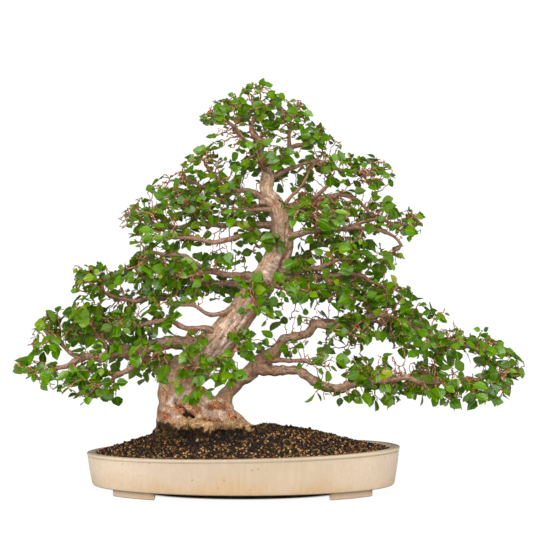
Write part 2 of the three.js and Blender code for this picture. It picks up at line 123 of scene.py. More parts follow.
# Roots that leave the base over the soil and dive into it.
ROOTS = [
    [(-62, -10, 146, 34), (-24, -24, 132, 26), (4, -32, 118, 18), (28, -38, 98, 10)],
    [(-118, -16, 136, 44), (-140, -52, 116, 34), (-152, -72, 90, 24)],
    [(-88, -18, 134, 44), (-80, -58, 114, 34), (-72, -80, 88, 24)],
    [(-130, 6, 138, 44), (-145, 2, 118, 32), (-152, 0, 90, 24)],
    [(-122, 34, 136, 42), (-142, 66, 116, 30), (-152, 84, 90, 20)],
    [(-78, 40, 136, 40), (-52, 74, 116, 28), (-38, 94, 90, 18)],
]

# A pruned stub high on the trunk's left.
STUB = [(62, -8, 576, 11), (45, -10, 574, 10), (30, -12, 573, 9)]

# Limbs, each from inside the wood that bears it to its last fork.
LIMBS = [
    # Lowest on the left: the long main limb and its side branches.
    [
        (-84, -2, 287, 17), (-117, -10, 293, 13), (-147, -18, 295, 12), (-177, -24, 289, 12),
        (-207, -30, 279, 12), (-237, -34, 275, 11), (-271, -36, 269, 9), (-307, -34, 265, 7),
        (-329, -32, 262, 6), (-357, -30, 247, 4.4), (-383, -30, 233, 3.8), (-410, -30, 220, 3),
    ],
    [
        (-196, -30, 279, 7), (-212, -42, 255, 6), (-229, -54, 238, 5), (-262, -60, 223, 4),
        (-296, -62, 208, 3),
    ],
    [(-325, -32, 261, 5), (-350, -22, 277, 4), (-374, -16, 300, 3.5), (-398, -12, 316, 3)],
    [(-262, -36, 270, 6), (-284, -6, 300, 5), (-306, 14, 332, 3.5)],
    [(-148, -20, 293, 5), (-156, -50, 284, 4), (-172, -78, 272, 3)],
    [
        (-114, 4, 249, 14), (-157, 24, 259, 11), (-187, 42, 259, 9), (-213, 62, 262, 7),
        (-256, 96, 284, 5), (-288, 124, 306, 3.5),
    ],
    # Short shoots before the trunk.
    [(-109, -30, 250, 6), (-101, -62, 252, 4), (-97, -86, 240, 3)],
    [(-22, -30, 326, 5), (-16, -52, 306, 4), (-12, -70, 292, 3)],
    [(20, -22, 384, 5), (25, -42, 374, 4), (28, -58, 366, 3)],
    # Thin limbs over the lowest one.
    [
        (-52, -22, 306, 7), (-75, -30, 323, 5.5), (-111, -32, 323, 5), (-141, -34, 335, 5),
        (-191, -38, 331, 4.5), (-232, -40, 328, 3.5),
    ],
    [
        (-20, -24, 360, 7), (-39, -34, 354, 5), (-75, -42, 352, 4), (-99, -46, 366, 3.5),
        (-138, -50, 369, 3),
    ],
    # Left, middle height.
    [
        (18, 0, 404, 10), (-27, 10, 413, 8), (-77, 20, 409, 7), (-117, 24, 399, 6.4), (-157, 24, 385, 6),
        (-187, 20, 381, 5), (-247, 14, 383, 4.4), (-284, 10, 398, 3.4),
    ],
    [(-72, 20, 410, 5), (-96, 60, 422, 4.4), (-132, 122, 438, 3.4)],
    [
        (20, -4, 424, 8), (-57, -20, 435, 6.4), (-87, -30, 443, 6), (-107, -38, 455, 5.4),
        (-123, -44, 465, 5), (-157, -50, 473, 4.6), (-192, -50, 470, 4), (-206, -50, 448, 3),
    ],
    [(-52, -20, 435, 5), (-82, -46, 432, 4), (-114, -60, 425, 3)],
    # Left, upper middle.
    [
        (66, -6, 499, 10), (29, -16, 505, 7.4), (-5, -26, 508, 6.4), (-35, -36, 501, 6),
        (-63, -44, 497, 5.4), (-117, -54, 505, 4.4), (-160, -58, 503, 3.4),
    ],
    [
        (70, 2, 529, 9), (29, 8, 529, 7.4), (-39, 8, 529, 6.4), (-74, 4, 527, 6), (-109, 2, 529, 5.4),
        (-157, 0, 523, 5), (-198, 0, 540, 3.4),
    ],
    [(-70, 4, 528, 5), (-86, -22, 542, 4), (-112, -46, 557, 3)],
    [(62, -12, 560, 6), (14, -44, 560, 4.4), (-22, -58, 557, 3)],
    [(64, 0, 562, 7), (36, 26, 566, 6), (-24, 66, 576, 4.6), (-88, 108, 586, 3.4)],
    # Left, upper.
    [
        (48, -6, 576, 9), (13, -10, 595, 6.4), (-15, -12, 595, 5.4), (-43, -14, 597, 5),
        (-71, -16, 605, 4.4), (-115, -20, 618, 3.4),
    ],
    [(-38, -14, 598, 4.4), (-54, -22, 622, 3.8), (-74, -30, 650, 3)],
    [(-10, -12, 596, 4.4), (-26, -28, 606, 3.6), (-36, -38, 617, 3)],
    # The apex.
    [(30, -18, 674, 8), (4, -24, 699, 5), (-14, -30, 722, 4.4), (-34, -38, 744, 3)],
    [(30, -18, 674, 8), (37, -20, 691, 6), (16, -18, 712, 5), (16, -16, 740, 4), (22, -15, 764, 3)],
    [
        (46, 0, 636, 9), (60, -4, 655, 7.4), (80, -8, 663, 6.4), (94, -10, 683, 5.4),
        (123, -10, 693, 4.4), (142, -10, 698, 3.4),
    ],
    [(92, -10, 680, 5), (92, -15, 706, 4), (93, -20, 738, 3)],
    [(38, -8, 657, 6), (32, 28, 688, 5), (22, 54, 714, 3.6)],
    [(46, -4, 638, 5), (38, -32, 648, 4), (29, -56, 661, 3)],
    # Right, upper.
    [(48, 0, 622, 7), (90, 2, 639, 5), (133, 2, 655, 4.4), (199, 0, 641, 4), (250, 0, 629, 3)],
    [
        (74, 2, 556, 11), (123, 8, 571, 8), (154, 10, 579, 7), (197, 12, 588, 5.4),
        (226, 12, 576, 4.4), (250, 10, 552, 3),
    ],
    [(132, 8, 573, 6), (144, 52, 570, 5), (150, 108, 563, 3.4)],
    [(126, 8, 572, 6), (142, 4, 584, 5), (160, 0, 600, 4.4), (180, -4, 617, 3.6), (176, -6, 630, 3)],
    [(76, -6, 560, 5), (96, -14, 590, 4), (120, -18, 612, 3.4), (134, -20, 640, 3), (150, -20, 664, 2.6)],
    [(140, 2, 656, 4), (164, -6, 640, 3.4), (186, -10, 620, 3)],
    # Right, upper middle.
    [
        (76, -4, 500, 9), (121, -18, 514, 7), (147, -20, 519, 6.4), (203, -16, 523, 5.6),
        (251, -8, 541, 4.6), (293, -4, 533, 4), (336, 0, 524, 3),
    ],
    [(140, -20, 518, 5), (148, -38, 532, 4), (152, -50, 541, 3)],
    [(200, -16, 523, 5), (258, -22, 521, 4.4), (301, -16, 507, 3.6), (312, -6, 486, 3), (292, 6, 464, 3)],
    # Right, middle.
    [(60, 0, 440, 10), (113, -8, 436, 7), (161, -20, 449, 6), (198, -28, 460, 3.4)],
    [
        (50, 2, 428, 10), (117, 4, 423, 7), (165, 6, 429, 6), (203, 8, 432, 5.4), (246, 10, 424, 4.6),
        (282, 10, 402, 3.4),
    ],
    [(160, 6, 428, 5), (176, -8, 410, 4), (190, -18, 395, 3)],
    [(36, -14, 412, 6), (64, -36, 406, 4.4), (94, -56, 397, 3)],
    [(42, 14, 414, 8), (74, 46, 414, 6.4), (132, 92, 410, 5), (188, 130, 403, 3.4)],
    # Right, lowest: the upper and the lower arm of the second trunk.
    [
        (44, 4, 262, 14), (65, 6, 277, 11), (80, 6, 299, 8.4), (127, 2, 315, 7.4), (147, -2, 332, 7),
        (175, -6, 331, 7), (205, -8, 341, 6.6), (243, -4, 347, 6.2), (281, 4, 347, 6), (318, 12, 336, 5.4),
        (356, 2, 317, 4.6), (396, -12, 297, 4.4), (436, -4, 286, 4), (478, 8, 278, 3),
    ],
    [(196, -8, 340, 5), (204, -24, 330, 4), (212, -38, 318, 3)],
    [(140, -2, 330, 6.4), (176, 56, 337, 5.4), (236, 106, 336, 4.4), (282, 142, 332, 3.4)],
    [(76, 6, 296, 5), (80, 32, 291, 4), (78, 58, 282, 3)],
    [
        (24, 2, 244, 14), (61, -6, 238, 9.4), (89, -14, 237, 8.6), (113, -20, 237, 8.4),
        (131, -26, 226, 8.4), (151, -32, 212, 8.4), (189, -42, 204, 8.2), (214, -48, 212, 7.4),
        (253, -54, 216, 7), (307, -56, 224, 6), (351, -54, 218, 5), (390, -50, 214, 5),
        (433, -44, 220, 4.4), (478, -28, 220, 4), (512, -14, 222, 3),
    ],
    [(44, -2, 260, 8), (85, -16, 260, 4.4), (119, -32, 257, 4), (150, -46, 254, 3)],
    [(206, -46, 210, 5), (236, 0, 216, 4.6), (292, 66, 224, 4), (328, 106, 226, 3.4)],
]

# Grooves and ridges carved in the wood's front: depth (a ridge is negative), then points with half widths.
CARVING = [
    # The hollow's crack, widest near its lower end.
    (7, [(-137, 174, 2.4), (-122, 164, 1.8), (-114, 158, 2.4)]),
    (13, [(-114, 158, 2.6), (-107, 151, 4.2), (-102, 147, 2.6)]),
    # Knotty lumps above it, and a dent below.
    (-4, [(-98, 162, 5.5), (-90, 155, 4.5)]),
    (-3, [(-104, 168, 4.0), (-100, 170, 3.5)]),
    (4, [(-118, 153, 4.0), (-114, 150, 3.0)]),
    # The short level crack, and the groove over the flare.
    (5, [(-82, 143, 1.6), (-70, 140.5, 2.6), (-58, 139, 2.6), (-49, 138, 1.6)]),
    (3, [(-138, 142, 3.0), (-112, 144, 3.0), (-84, 143, 2.4)]),
    (3, [(-48, 139, 2.4), (-26, 143, 3.0), (-6, 142, 3.0)]),
    # The notch under the second trunk, with a ledge over it.
    (8, [(-66, 167, 4.6), (-54, 166, 5.4), (-39, 165, 4.6)]),
    (-3, [(-68, 180, 3.6), (-46, 177, 3.6)]),
    # The smooth streak on the left, with a pit beside it.
    (-4, [(-128, 196, 6.0), (-138, 184, 6.5), (-148, 172, 5.0)]),
    (3, [(-155, 186, 2.6), (-156, 178, 3.2)]),
    (3, [(-118, 200, 3.0), (-126, 186, 3.0), (-134, 176, 2.4)]),
    (4, [(-96, 206, 3.5), (-92, 190, 4.0), (-90, 176, 3.0)]),
    (3, [(-78, 190, 3.0), (-76, 178, 3.6), (-72, 166, 3.0)]),
    (-3, [(-104, 196, 6.0), (-106, 184, 6.0)]),
    (-3, [(-84, 200, 5.0), (-82, 184, 5.0)]),
    (-3, [(-36, 154, 7.0), (-20, 150, 6.0)]),
    (4, [(-18, 146, 2.4), (-14, 142, 2.4)]),
    # The flare: a shelf of smooth wood over the dark base.
    (-8, [
        (-137, 131, 6), (-122, 134, 8), (-104, 135, 9), (-84, 131, 9), (-68, 127, 9), (-48, 130, 9),
        (-28, 133, 9), (-8, 131, 9), (7, 125, 8), (19, 115, 7),
    ]),
    (7, [(-168, 118, 5), (-138, 114, 5), (-105, 116, 5), (-70, 110, 5), (-35, 113, 5), (0, 112, 4)]),
    # The oval slot high on the right.
    (9, [(72, 578, 3.4), (86, 569, 4.2)]),
    (-3, [(64, 580, 2.6), (78, 566, 2.6)]),
    # Fissures up the leaning middle of the trunk.
    (4, [(-66, 262, 2.2), (-50, 286, 2.6), (-38, 310, 2.2), (-20, 336, 2.0)]),
    (3.5, [(-84, 268, 2), (-70, 290, 2.4), (-58, 306, 2)]),
    (4, [(-40, 280, 2), (-24, 304, 3), (-10, 330, 2.4), (2, 344, 2)]),
    (4, [(-30, 268, 2), (-10, 296, 2.6), (8, 330, 2.4)]),
    (3.5, [(8, 352, 2), (16, 376, 2.4), (30, 398, 2), (46, 414, 2)]),
    (3.5, [(-12, 350, 2), (2, 372, 2.4), (14, 392, 2)]),
    (3.5, [(-100, 246, 2), (-84, 240, 2.6), (-64, 246, 2)]),
    (4, [(62, 420, 2), (76, 446, 3), (88, 470, 3), (92, 500, 2.4)]),
    (3.5, [(72, 440, 2), (82, 470, 2.6), (84, 500, 2.6), (86, 530, 2.2)]),
    (3, [(56, 440, 2), (64, 470, 2.4), (68, 500, 2)]),
    (3, [(66, 530, 2), (72, 548, 2.4), (66, 566, 2.4), (58, 578, 2)]),
]

# Patches of colour on the wood's front: kind, then points with half widths.
PATCHES = [
    # The hollow patches paint near-black shade deep in the cracks and the oval slot.
    ("hollow", [(-136, 174, 1.6), (-134, 171, 0.8), (-127, 167, 0.5), (-119, 163, 0.8), (-114, 158, 1.2)]),
    ("hollow", [(-114, 158, 1.4), (-108, 152, 2.6), (-103, 148, 1.4)]),
    ("hollow", [(-80, 143, 0.4), (-70, 141, 0.9), (-60, 139.5, 0.6), (-52, 138, 0.9)]),
    ("hollow", [(-58, 173.5, 0.4), (-50, 174, 0.8), (-44, 172, 0.4)]),
    ("hollow", [(-17, 146, 0.9), (-14, 143, 0.9)]),
    ("hollow", [(72, 578, 3.6), (86, 569, 4.6)]),
    ("rot", [(-104, 166, 6), (-96, 161, 9), (-88, 154, 7)]),
    ("rot", [(-134, 166, 4), (-124, 158, 6)]),
    ("rot", [(-80, 140, 4), (-52, 137, 5)]),
    ("rot", [(-66, 166, 5), (-52, 165, 7), (-38, 165, 5)]),
    ("rot", [(-166, 152, 8), (-150, 146, 8)]),
    ("rot", [(-30, 150, 5), (-20, 146, 6)]),
    ("pale", [
        (-137, 131, 6), (-122, 134, 8), (-104, 135, 9), (-84, 131, 10), (-68, 127, 10), (-48, 130, 9),
        (-28, 133, 10), (-8, 131, 10), (7, 125, 9), (19, 115, 8),
    ]),
    ("chalky", [(-84, 158, 7), (-64, 152, 8), (-40, 150, 8), (-24, 152, 5)]),
    ("chalky", [(-130, 184, 4), (-110, 196, 5)]),
    ("chalky", [(-160, 160, 6), (-146, 146, 7), (-128, 144, 5)]),
    ("pale", [(-126, 118, 4), (-124, 110, 3)]),
    ("pale", [(-68, 180, 4), (-46, 177, 4)]),
    ("chalky", [(-72, 262, 14), (-44, 292, 16), (-18, 330, 14), (6, 362, 12)]),
    ("chalky", [(40, 408, 9), (58, 436, 9), (62, 462, 8)]),
    ("grey", [(-128, 196, 4.5), (-138, 184, 6), (-148, 172, 4)]),
    ("earthy", [(-182, 128, 8), (-166, 126, 10), (-150, 122, 12), (-138, 112, 9)]),
    ("earthy", [
        (-150, 106, 12), (-112, 108, 12), (-84, 109, 11), (-60, 107, 9), (-35, 111, 10), (-6, 109, 8),
    ]),
    ("earthy", [(-188, 112, 12), (-162, 108, 14), (-130, 102, 12)]),
    ("earthy", [(16, 130, 3), (26, 120, 7), (30, 112, 8)]),
    ("earthy", [(-128, 112, 8), (-108, 119, 8), (-92, 112, 7)]),
    ("earthy", [(-68, 110, 7), (-46, 118, 7), (-14, 116, 7)]),
    ("earthy", [(-118, 152, 4), (-113, 149, 4)]),
    ("rot", [(-155, 186, 2), (-156, 178, 2.4)]),
    ("aged", [(94, 550, 5), (100, 520, 9), (98, 480, 9), (88, 446, 7), (70, 410, 6)]),
    ("aged", [(20, 336, 7), (2, 306, 9), (-14, 284, 9), (-34, 262, 7)]),
]

# Sparse sprays of leaves between the pads: middle, half sizes, and how many shoots.
SPRAYS = [
    # Upper crown
    (163, 0, 709, 28, 34, 22, 60), (112, -5, 758, 26, 30, 22, 52), (10, -40, 657, 28, 30, 20, 24),
    (110, -20, 657, 24, 30, 20, 4), (-140, -10, 650, 24, 30, 18, 18), (215, 0, 604, 28, 40, 20, 26),
    (-196, -6, 596, 22, 34, 20, 22), (268, 0, 610, 26, 44, 24, 26), (60, -50, 690, 30, 30, 24, 22),
    (-20, -50, 700, 24, 24, 20, 14), (0, -50, 578, 26, 26, 26, 18), (215, 0, 660, 30, 44, 18, 16),
    (100, 40, 610, 40, 30, 30, 18), (-10, -10, 760, 16, 24, 12, 8), (-45, -20, 730, 16, 24, 12, 8),
    (-60, -10, 684, 18, 24, 12, 8), (189, -10, 690, 12, 24, 12, 8),
    # Left side
    (-240, 0, 556, 24, 40, 20, 22), (-258, 0, 520, 20, 30, 14, 10), (-97, -30, 502, 26, 34, 20, 26),
    (-45, -40, 452, 28, 30, 24, 30), (-200, -20, 470, 30, 40, 20, 18), (-345, -10, 430, 22, 34, 16, 12),
    (-100, -30, 398, 50, 36, 18, 40), (-300, 10, 382, 30, 50, 16, 16), (-201, -30, 300, 28, 36, 24, 34),
    (-110, -70, 290, 30, 24, 22, 30), (-38, -98, 244, 38, 22, 32, 118), (-86, -88, 262, 26, 22, 20, 30),
    (-97, -80, 196, 26, 20, 16, 16), (7, -60, 293, 24, 24, 22, 26), (-97, -84, 238, 24, 20, 22, 26),
    (-176, -60, 212, 10, 14, 24, 6), (-178, -44, 254, 24, 30, 22, 26), (-395, -20, 206, 26, 34, 16, 12),
    (-452, -20, 248, 16, 34, 20, 16), (-290, -40, 262, 36, 40, 26, 36), (-260, -40, 200, 26, 30, 16, 12),
    (-305, -50, 196, 28, 40, 16, 26), (-253, -30, 293, 26, 40, 20, 44), (-305, -50, 190, 24, 36, 18, 20),
    (-149, -30, 345, 24, 30, 20, 24), (-149, -10, 397, 24, 36, 20, 18), (-45, -30, 553, 26, 30, 20, 18),
    (7, -40, 553, 26, 30, 20, 30), (-253, 0, 556, 22, 34, 18, 12), (-200, -6, 598, 22, 34, 18, 20),
    # Middle, before and behind the trunk
    (7, -60, 293, 24, 24, 20, 14), (59, -40, 501, 26, 24, 22, 30), (59, -40, 657, 26, 30, 22, 34),
    (12, -64, 408, 28, 24, 28, 24), (30, -50, 500, 30, 20, 26, 20), (60, -40, 292, 26, 22, 20, 8),
    (111, -40, 292, 26, 22, 20, 14), (-20, 60, 482, 60, 40, 30, 30), (108, 40, 452, 30, 40, 26, 26),
    (-30, 70, 395, 40, 40, 22, 24),
    # Right side
    (215, -20, 502, 28, 50, 24, 44), (215, -20, 448, 30, 50, 24, 30), (319, 0, 398, 26, 44, 24, 26),
    (319, -10, 294, 28, 50, 24, 36), (371, -20, 242, 28, 50, 22, 36), (163, -50, 242, 28, 28, 20, 26),
    (300, -30, 198, 40, 40, 18, 40), (165, -54, 192, 24, 22, 14, 14), (423, 0, 328, 26, 40, 18, 5),
    (470, 0, 322, 14, 30, 8, 4), (526, 0, 288, 24, 40, 18, 34), (556, 0, 246, 12, 34, 18, 8),
    (378, 0, 352, 30, 40, 18, 18), (330, 10, 470, 20, 40, 20, 14), (106, -44, 340, 22, 20, 18, 10),
    (480, -20, 190, 30, 40, 16, 16), (215, -50, 190, 24, 24, 16, 16), (475, -20, 192, 26, 40, 18, 30),
    (527, -10, 190, 18, 34, 14, 10), (215, -50, 241, 24, 30, 18, 14), (215, -30, 345, 26, 36, 20, 30),
    (163, -10, 501, 26, 40, 20, 30), (59, -30, 352, 22, 26, 18, 10), (267, -14, 189, 26, 40, 18, 22),
    (-305, -14, 189, 26, 40, 20, 26), (527, -4, 241, 24, 36, 20, 22), (267, -10, 657, 24, 34, 20, 18),
    (59, -20, 712, 26, 30, 22, 46), (-45, -20, 605, 26, 34, 22, 30), (475, -20, 186, 26, 40, 18, 30),
    (-97, -50, 296, 24, 24, 20, 20), (-97, -30, 553, 26, 34, 20, 24), (111, -20, 449, 24, 30, 20, 20),
    (319, -10, 345, 24, 40, 20, 20), (-409, -20, 293, 24, 34, 20, 20), (-45, -14, 712, 26, 30, 22, 34),
    # Back
    (130, 60, 600, 40, 40, 26, 26), (40, 80, 545, 60, 40, 40, 44), (150, 70, 470, 50, 40, 30, 30),
    (-60, 80, 400, 60, 40, 30, 34), (120, 90, 340, 60, 40, 24, 30), (-40, 100, 300, 50, 30, 36, 30),
    (20, 80, 640, 50, 40, 30, 34), (200, 120, 300, 60, 50, 30, 44), (-200, 110, 250, 60, 40, 30, 40),
    (-220, 120, 400, 60, 50, 30, 30), (60, 110, 440, 60, 40, 30, 40),
]

# Places where the crown is open: middle across and up, half sizes, and the share of leaves that stay.
CLEAR_PLACES = [
    (7, 709, 78, 26, 0.62), (-201, 241, 26, 26, 0.5), (-357, 189, 26, 26, 0.45), (423, 345, 26, 26, 0.35),
    (267, 293, 26, 26, 0.55), (59, 397, 26, 26, 0.7), (-45, 657, 26, 26, 0.6), (163, 657, 30, 26, 0.75),
    (-123, 605, 52, 28, 0.7), (134, 603, 58, 30, 0.36), (267, 553, 26, 26, 0.6), (163, 556, 78, 26, 0.8),
    (7, 501, 26, 26, 0.6), (-45, 501, 26, 26, 0.25), (111, 500, 26, 28, 0.3), (163, 449, 28, 26, 0.45),
    (-253, 449, 26, 26, 0.45), (-201, 397, 28, 26, 0.9), (-97, 397, 28, 26, 0.7), (-71, 345, 58, 27, 0.04),
    (111, 343, 28, 28, 0.3), (267, 345, 28, 26, 0.45), (-305, 293, 26, 26, 0.7), (-71, 293, 54, 26, 0.42),
    (163, 293, 26, 26, 0.45), (-149, 241, 26, 26, 0.55), (267, 241, 28, 26, 0.5), (319, 243, 26, 28, 0.12),
    (440, 199, 30, 26, 0.7), (163, 397, 26, 26, 0.85), (-97, 189, 26, 26, 0.5), (-149, 189, 26, 26, 0.5),
    (163, 241, 26, 26, 0.72), (59, 293, 26, 26, 0.58), (111, 293, 26, 26, 0.8), (215, 293, 26, 26, 0.62),
    (163, 345, 26, 26, 0.6), (215, 397, 26, 26, 0.85), (-305, 397, 26, 26, 0.75), (-45, 449, 26, 26, 0.6),
    (7, 449, 26, 26, 0.75), (-97, 501, 26, 26, 0.6), (-149, 553, 26, 26, 0.75), (215, 553, 26, 26, 0.78),
    (215, 605, 26, 26, 0.62), (267, 605, 26, 26, 0.65), (111, 657, 26, 26, 0.7), (-45, 709, 26, 26, 0.6),
    (59, 709, 26, 26, 0.8), (-97, 241, 26, 26, 0.9), (267, 449, 26, 26, 0.68), (319, 449, 26, 26, 0.6),
    (59, 813, 26, 26, 0.5), (163, 189, 26, 26, 0.62), (-253, 241, 26, 26, 0.72), (-97, 449, 26, 26, 0.78),
    (-149, 293, 26, 26, 0.75), (267, 189, 26, 26, 0.78), (70, 300, 24, 16, 0.25), (100, 318, 22, 16, 0.2),
    (130, 332, 22, 14, 0.25), (160, 338, 20, 12, 0.5), (150, 290, 40, 26, 0.55), (60, 240, 60, 26, 0.2),
    (163, 501, 26, 26, 0.75), (215, 189, 26, 26, 0.7), (-409, 293, 26, 26, 0.7), (423, 293, 26, 26, 0.8),
    (319, 397, 26, 26, 0.8), (7, 605, 26, 26, 0.7), (163, 397, 26, 26, 0.85), (-45, 241, 30, 26, 0.85),
    (-149, 345, 26, 24, 0.9),
]

# The crown's outline from the front: height, then how far it reaches to the left and to the right.
CROWN_EDGE = [
    (160, -290, 500), (180, -335, 530), (200, -405, 532), (225, -435, 562), (250, -466, 570),
    (270, -442, 540), (320, -426, 496), (345, -405, 458), (370, -380, 386), (415, -335, 320),
    (440, -350, 314), (465, -275, 322), (490, -230, 320), (515, -238, 360), (535, -256, 362),
    (560, -240, 362), (585, -212, 290), (630, -165, 306), (655, -128, 308), (680, -105, 215),
    (705, -86, 180), (750, -98, 140), (775, -64, 124), (800, -12, 104), (823, 20, 40),
]

# The limbs above this height are slimmer than their routes say.
SLIM_ABOVE = 380
SLIMMER = 0.82

# Twigs: the step they grow by, how far a goal draws them, how near they come to it, and the tip's radius.
TWIG_STEP = 7.5
TWIG_REACH = 150
TWIG_CLEAR = 11
TWIG_TIP = 0.95
TWIG_CROWD = 2.35
TIPS_PER_LITRE = 152
SPUR_SHARE = 0.4

# Leaves: the shortest and the longest, the share of joints with one, and how many tips a leafy twig bears.
LEAF_LENGTH = (13, 30)
LEAFY_JOINTS = 0.3
LEAFY_TIPS = 3

# How ragged the edge of a painted patch is, by its kind.
RAGGED_EDGES = {
    "aged": 0.3, "grey": 0.3, "chalky": 0.3, "pale": 0.3, "rot": 0.3, "earthy": 0.9, "hollow": 0.0,
}


def place(across, depth, height):
    """The point in metres for a place in millimetres from the pot's middle."""
    return Vector((across * MM + POT_X, depth * MM, height * MM))


def seen(across, depth, height):
    """A point given as it lines up from the front: the deeper it lies, the further out it is set."""
    stretch = 1 - depth / FRONT_EYE[1]
    return place(
        FRONT_EYE[0] + (across - FRONT_EYE[0]) * stretch,
        depth,
        FRONT_EYE[2] + (height - FRONT_EYE[2]) * stretch,
    )


def as_seen(points):
    """The across and height, in millimetres, at which points line up from the front."""
    stretch = 1 - points[:, 1] / MM / FRONT_EYE[1]
    across = FRONT_EYE[0] + ((points[:, 0] - POT_X) / MM - FRONT_EYE[0]) / stretch
    height = FRONT_EYE[2] + (points[:, 2] / MM - FRONT_EYE[2]) / stretch
    return np.stack([across, height], axis=1)


def smoothstep(value):
    value = np.clip(value, 0, 1)
    return value * value * (3 - 2 * value)


def rim_height(across):
    return POT_HEIGHT + across * math.tan(RIM_TILT)


def soil_lump(across, depth):
    return 1.6 * noise.noise(Vector((across, depth, 0)) * 0.09)


def soil_height(across, depth):
    """Height of the soil over a point, or over many: heaped up round the trunk."""
    out = np.hypot((across - HEAP_CENTRE[0]) / HEAP_REACH[0], (depth - HEAP_CENTRE[1]) / HEAP_REACH[1])
    heap = HEAP_HEIGHT * smoothstep((1 - out) / (1 - HEAP_FLAT))
    from_trunk = np.hypot(across - TRUNK[0][0], depth - TRUNK[0][1]) / COLLAR_REACH
    collar = COLLAR_HEIGHT * np.exp(-from_trunk * from_trunk)
    return rim_height(across) - SOIL_BELOW_RIM + heap + collar


# Meshes

def mesh_piece(name, corners, faces):
    mesh = bpy.data.meshes.new(name)
    mesh.from_pydata(corners, [], faces)
    piece = bpy.data.objects.new(name, mesh)
    bpy.context.scene.collection.objects.link(piece)
    return piece


def only(piece):
    """Selects one piece alone, as the active one."""
    bpy.ops.object.select_all(action="DESELECT")
    piece.select_set(True)
    bpy.context.view_layer.objects.active = piece


def apply_modifier(piece, kind, **settings):
    only(piece)
    made = piece.modifiers.new(kind.title(), kind)
    for name, value in settings.items():
        setattr(made, name, value)
    bpy.ops.object.modifier_apply(modifier=made.name)


def corners_of(piece, key="co"):
    flat = np.empty(len(piece.data.vertices) * 3)
    piece.data.vertices.foreach_get(key, flat)
    return flat.reshape(-1, 3)


def normals_of(piece):
    return corners_of(piece, "normal")


def move_corners(piece, corners):
    piece.data.vertices.foreach_set("co", corners.ravel())
    piece.data.update()


def paint(piece, name, values, domain="POINT"):
    """Stores a value, or a vector, for each corner or face of a piece."""
    values = np.asarray(values, dtype=np.float32)
    kind, key = ("FLOAT", "value") if values.ndim == 1 else ("FLOAT_VECTOR", "vector")
    layer = piece.data.attributes.new(name, kind, domain)
    layer.data.foreach_set(key, values.ravel())


def smooth_shade(piece, degrees=None):
    only(piece)
    if degrees is None:
        bpy.ops.object.shade_smooth()
    else:
        bpy.ops.object.shade_smooth_by_angle(angle=math.radians(degrees))


def finish_piece(piece, material, slot, *nodes):
    """Gives a piece its one material, hangs it from the root body and hides the nodes that it stands for.
    The slot is not used.
    """
    piece.data.materials.clear()
    piece.data.materials.append(material)
    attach(piece, "root")
    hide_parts(*nodes)
    return piece


def smooth_route(route, spacing):
    """Points and radii along a curve through a route, in metres, a spacing apart."""
    knots = np.array([[*seen(*row[:3]), row[3] * MM] for row in route])
    if route[0][3] < 12 and route[0][2] > SLIM_ABOVE:
        knots[1:, 3] *= SLIMMER
    knots = np.vstack([2 * knots[0] - knots[1], knots, 2 * knots[-1] - knots[-2]])
    rows = []
    for p0, p1, p2, p3 in zip(knots, knots[1:], knots[2:], knots[3:]):
        gaps = [max(np.linalg.norm((b - a)[:3]), 1e-6) ** 0.5 for a, b in ((p0, p1), (p1, p2), (p2, p3))]
        t0, t1, t2, t3 = 0, gaps[0], gaps[0] + gaps[1], sum(gaps)
        steps = max(1, round(np.linalg.norm((p2 - p1)[:3]) / (spacing * MM)))
        for t in np.linspace(t1, t2, steps, endpoint=False):
            a1 = ((t1 - t) * p0 + (t - t0) * p1) / (t1 - t0)
            a2 = ((t2 - t) * p1 + (t - t1) * p2) / (t2 - t1)
            a3 = ((t3 - t) * p2 + (t - t2) * p3) / (t3 - t2)
            b1 = ((t2 - t) * a1 + (t - t0) * a2) / (t2 - t0)
            b2 = ((t3 - t) * a2 + (t - t1) * a3) / (t3 - t1)
            rows.append(((t2 - t) * b1 + (t - t1) * b2) / (t2 - t1))
    rows.append(knots[-2])
    return [(Vector(row[:3]), row[3]) for row in rows]


def frames_along(spine):
    """The direction along a spine at each point, and two directions across it that turn with it."""
    points = [point for point, _ in spine]
    along = []
    for before, after in zip([points[0]] + points[:-1], points[1:] + [points[-1]]):
        along.append((after - before).normalized())
    side = along[0].orthogonal().normalized()
    made = []
    for direction in along:
        side = (side - direction * side.dot(direction)).normalized()
        made.append((direction, side, direction.cross(side)))
    return made


def ring_faces(first, second, sides):
    """The faces between two rings of corners, from the number of each ring's first corner."""
    ends = [(turn, (turn + 1) % sides) for turn in range(sides)]
    return [(first + here, first + after, second + after, second + here) for here, after in ends]


def shifted(faces, first):
    """The faces of a part whose corners are numbered from first."""
    return [tuple(first + corner for corner in face) for face in faces]


def sweep(spine, sides, swelling=None):
    """A closed tube along a spine: corners, faces and each corner's place in the straightened wood."""
    corners, grain, faces = [], [], []
    length = 0
    for ring, ((point, radius), (_, side, across)) in enumerate(zip(spine, frames_along(spine))):
        if ring:
            length += (point - spine[ring - 1][0]).length
        for turn in range(sides):
            angle = 2 * math.pi * turn / sides
            out = radius * (swelling(angle, ring / (len(spine) - 1), length) if swelling else 1)
            flat = (math.cos(angle) * out, math.sin(angle) * out)
            corners.append(point + side * flat[0] + across * flat[1])
            grain.append((*flat, length))
    for ring in range(len(spine) - 1):
        faces += ring_faces(ring * sides, (ring + 1) * sides, sides)
    faces.append(tuple(reversed(range(sides))))
    faces.append(tuple(range((len(spine) - 1) * sides, len(spine) * sides)))
    return corners, faces, grain


def joined(parts):
    """Several sets of corners, faces and values as one set."""
    corners, faces, values = [], [], []
    for part_corners, part_faces, part_values in parts:
        faces += shifted(part_faces, len(corners))
        corners.extend(part_corners)
        values.extend(part_values)
    return corners, faces, values


# Shader nodes

def colour(code):
    """A colour's linear values from its red, green and blue code."""
    parts = [int(code[i:i + 2], 16) / 255 for i in (1, 3, 5)]
    return (*(p / 12.92 if p <= 0.04045 else ((p + 0.055) / 1.055) ** 2.4 for p in parts), 1)


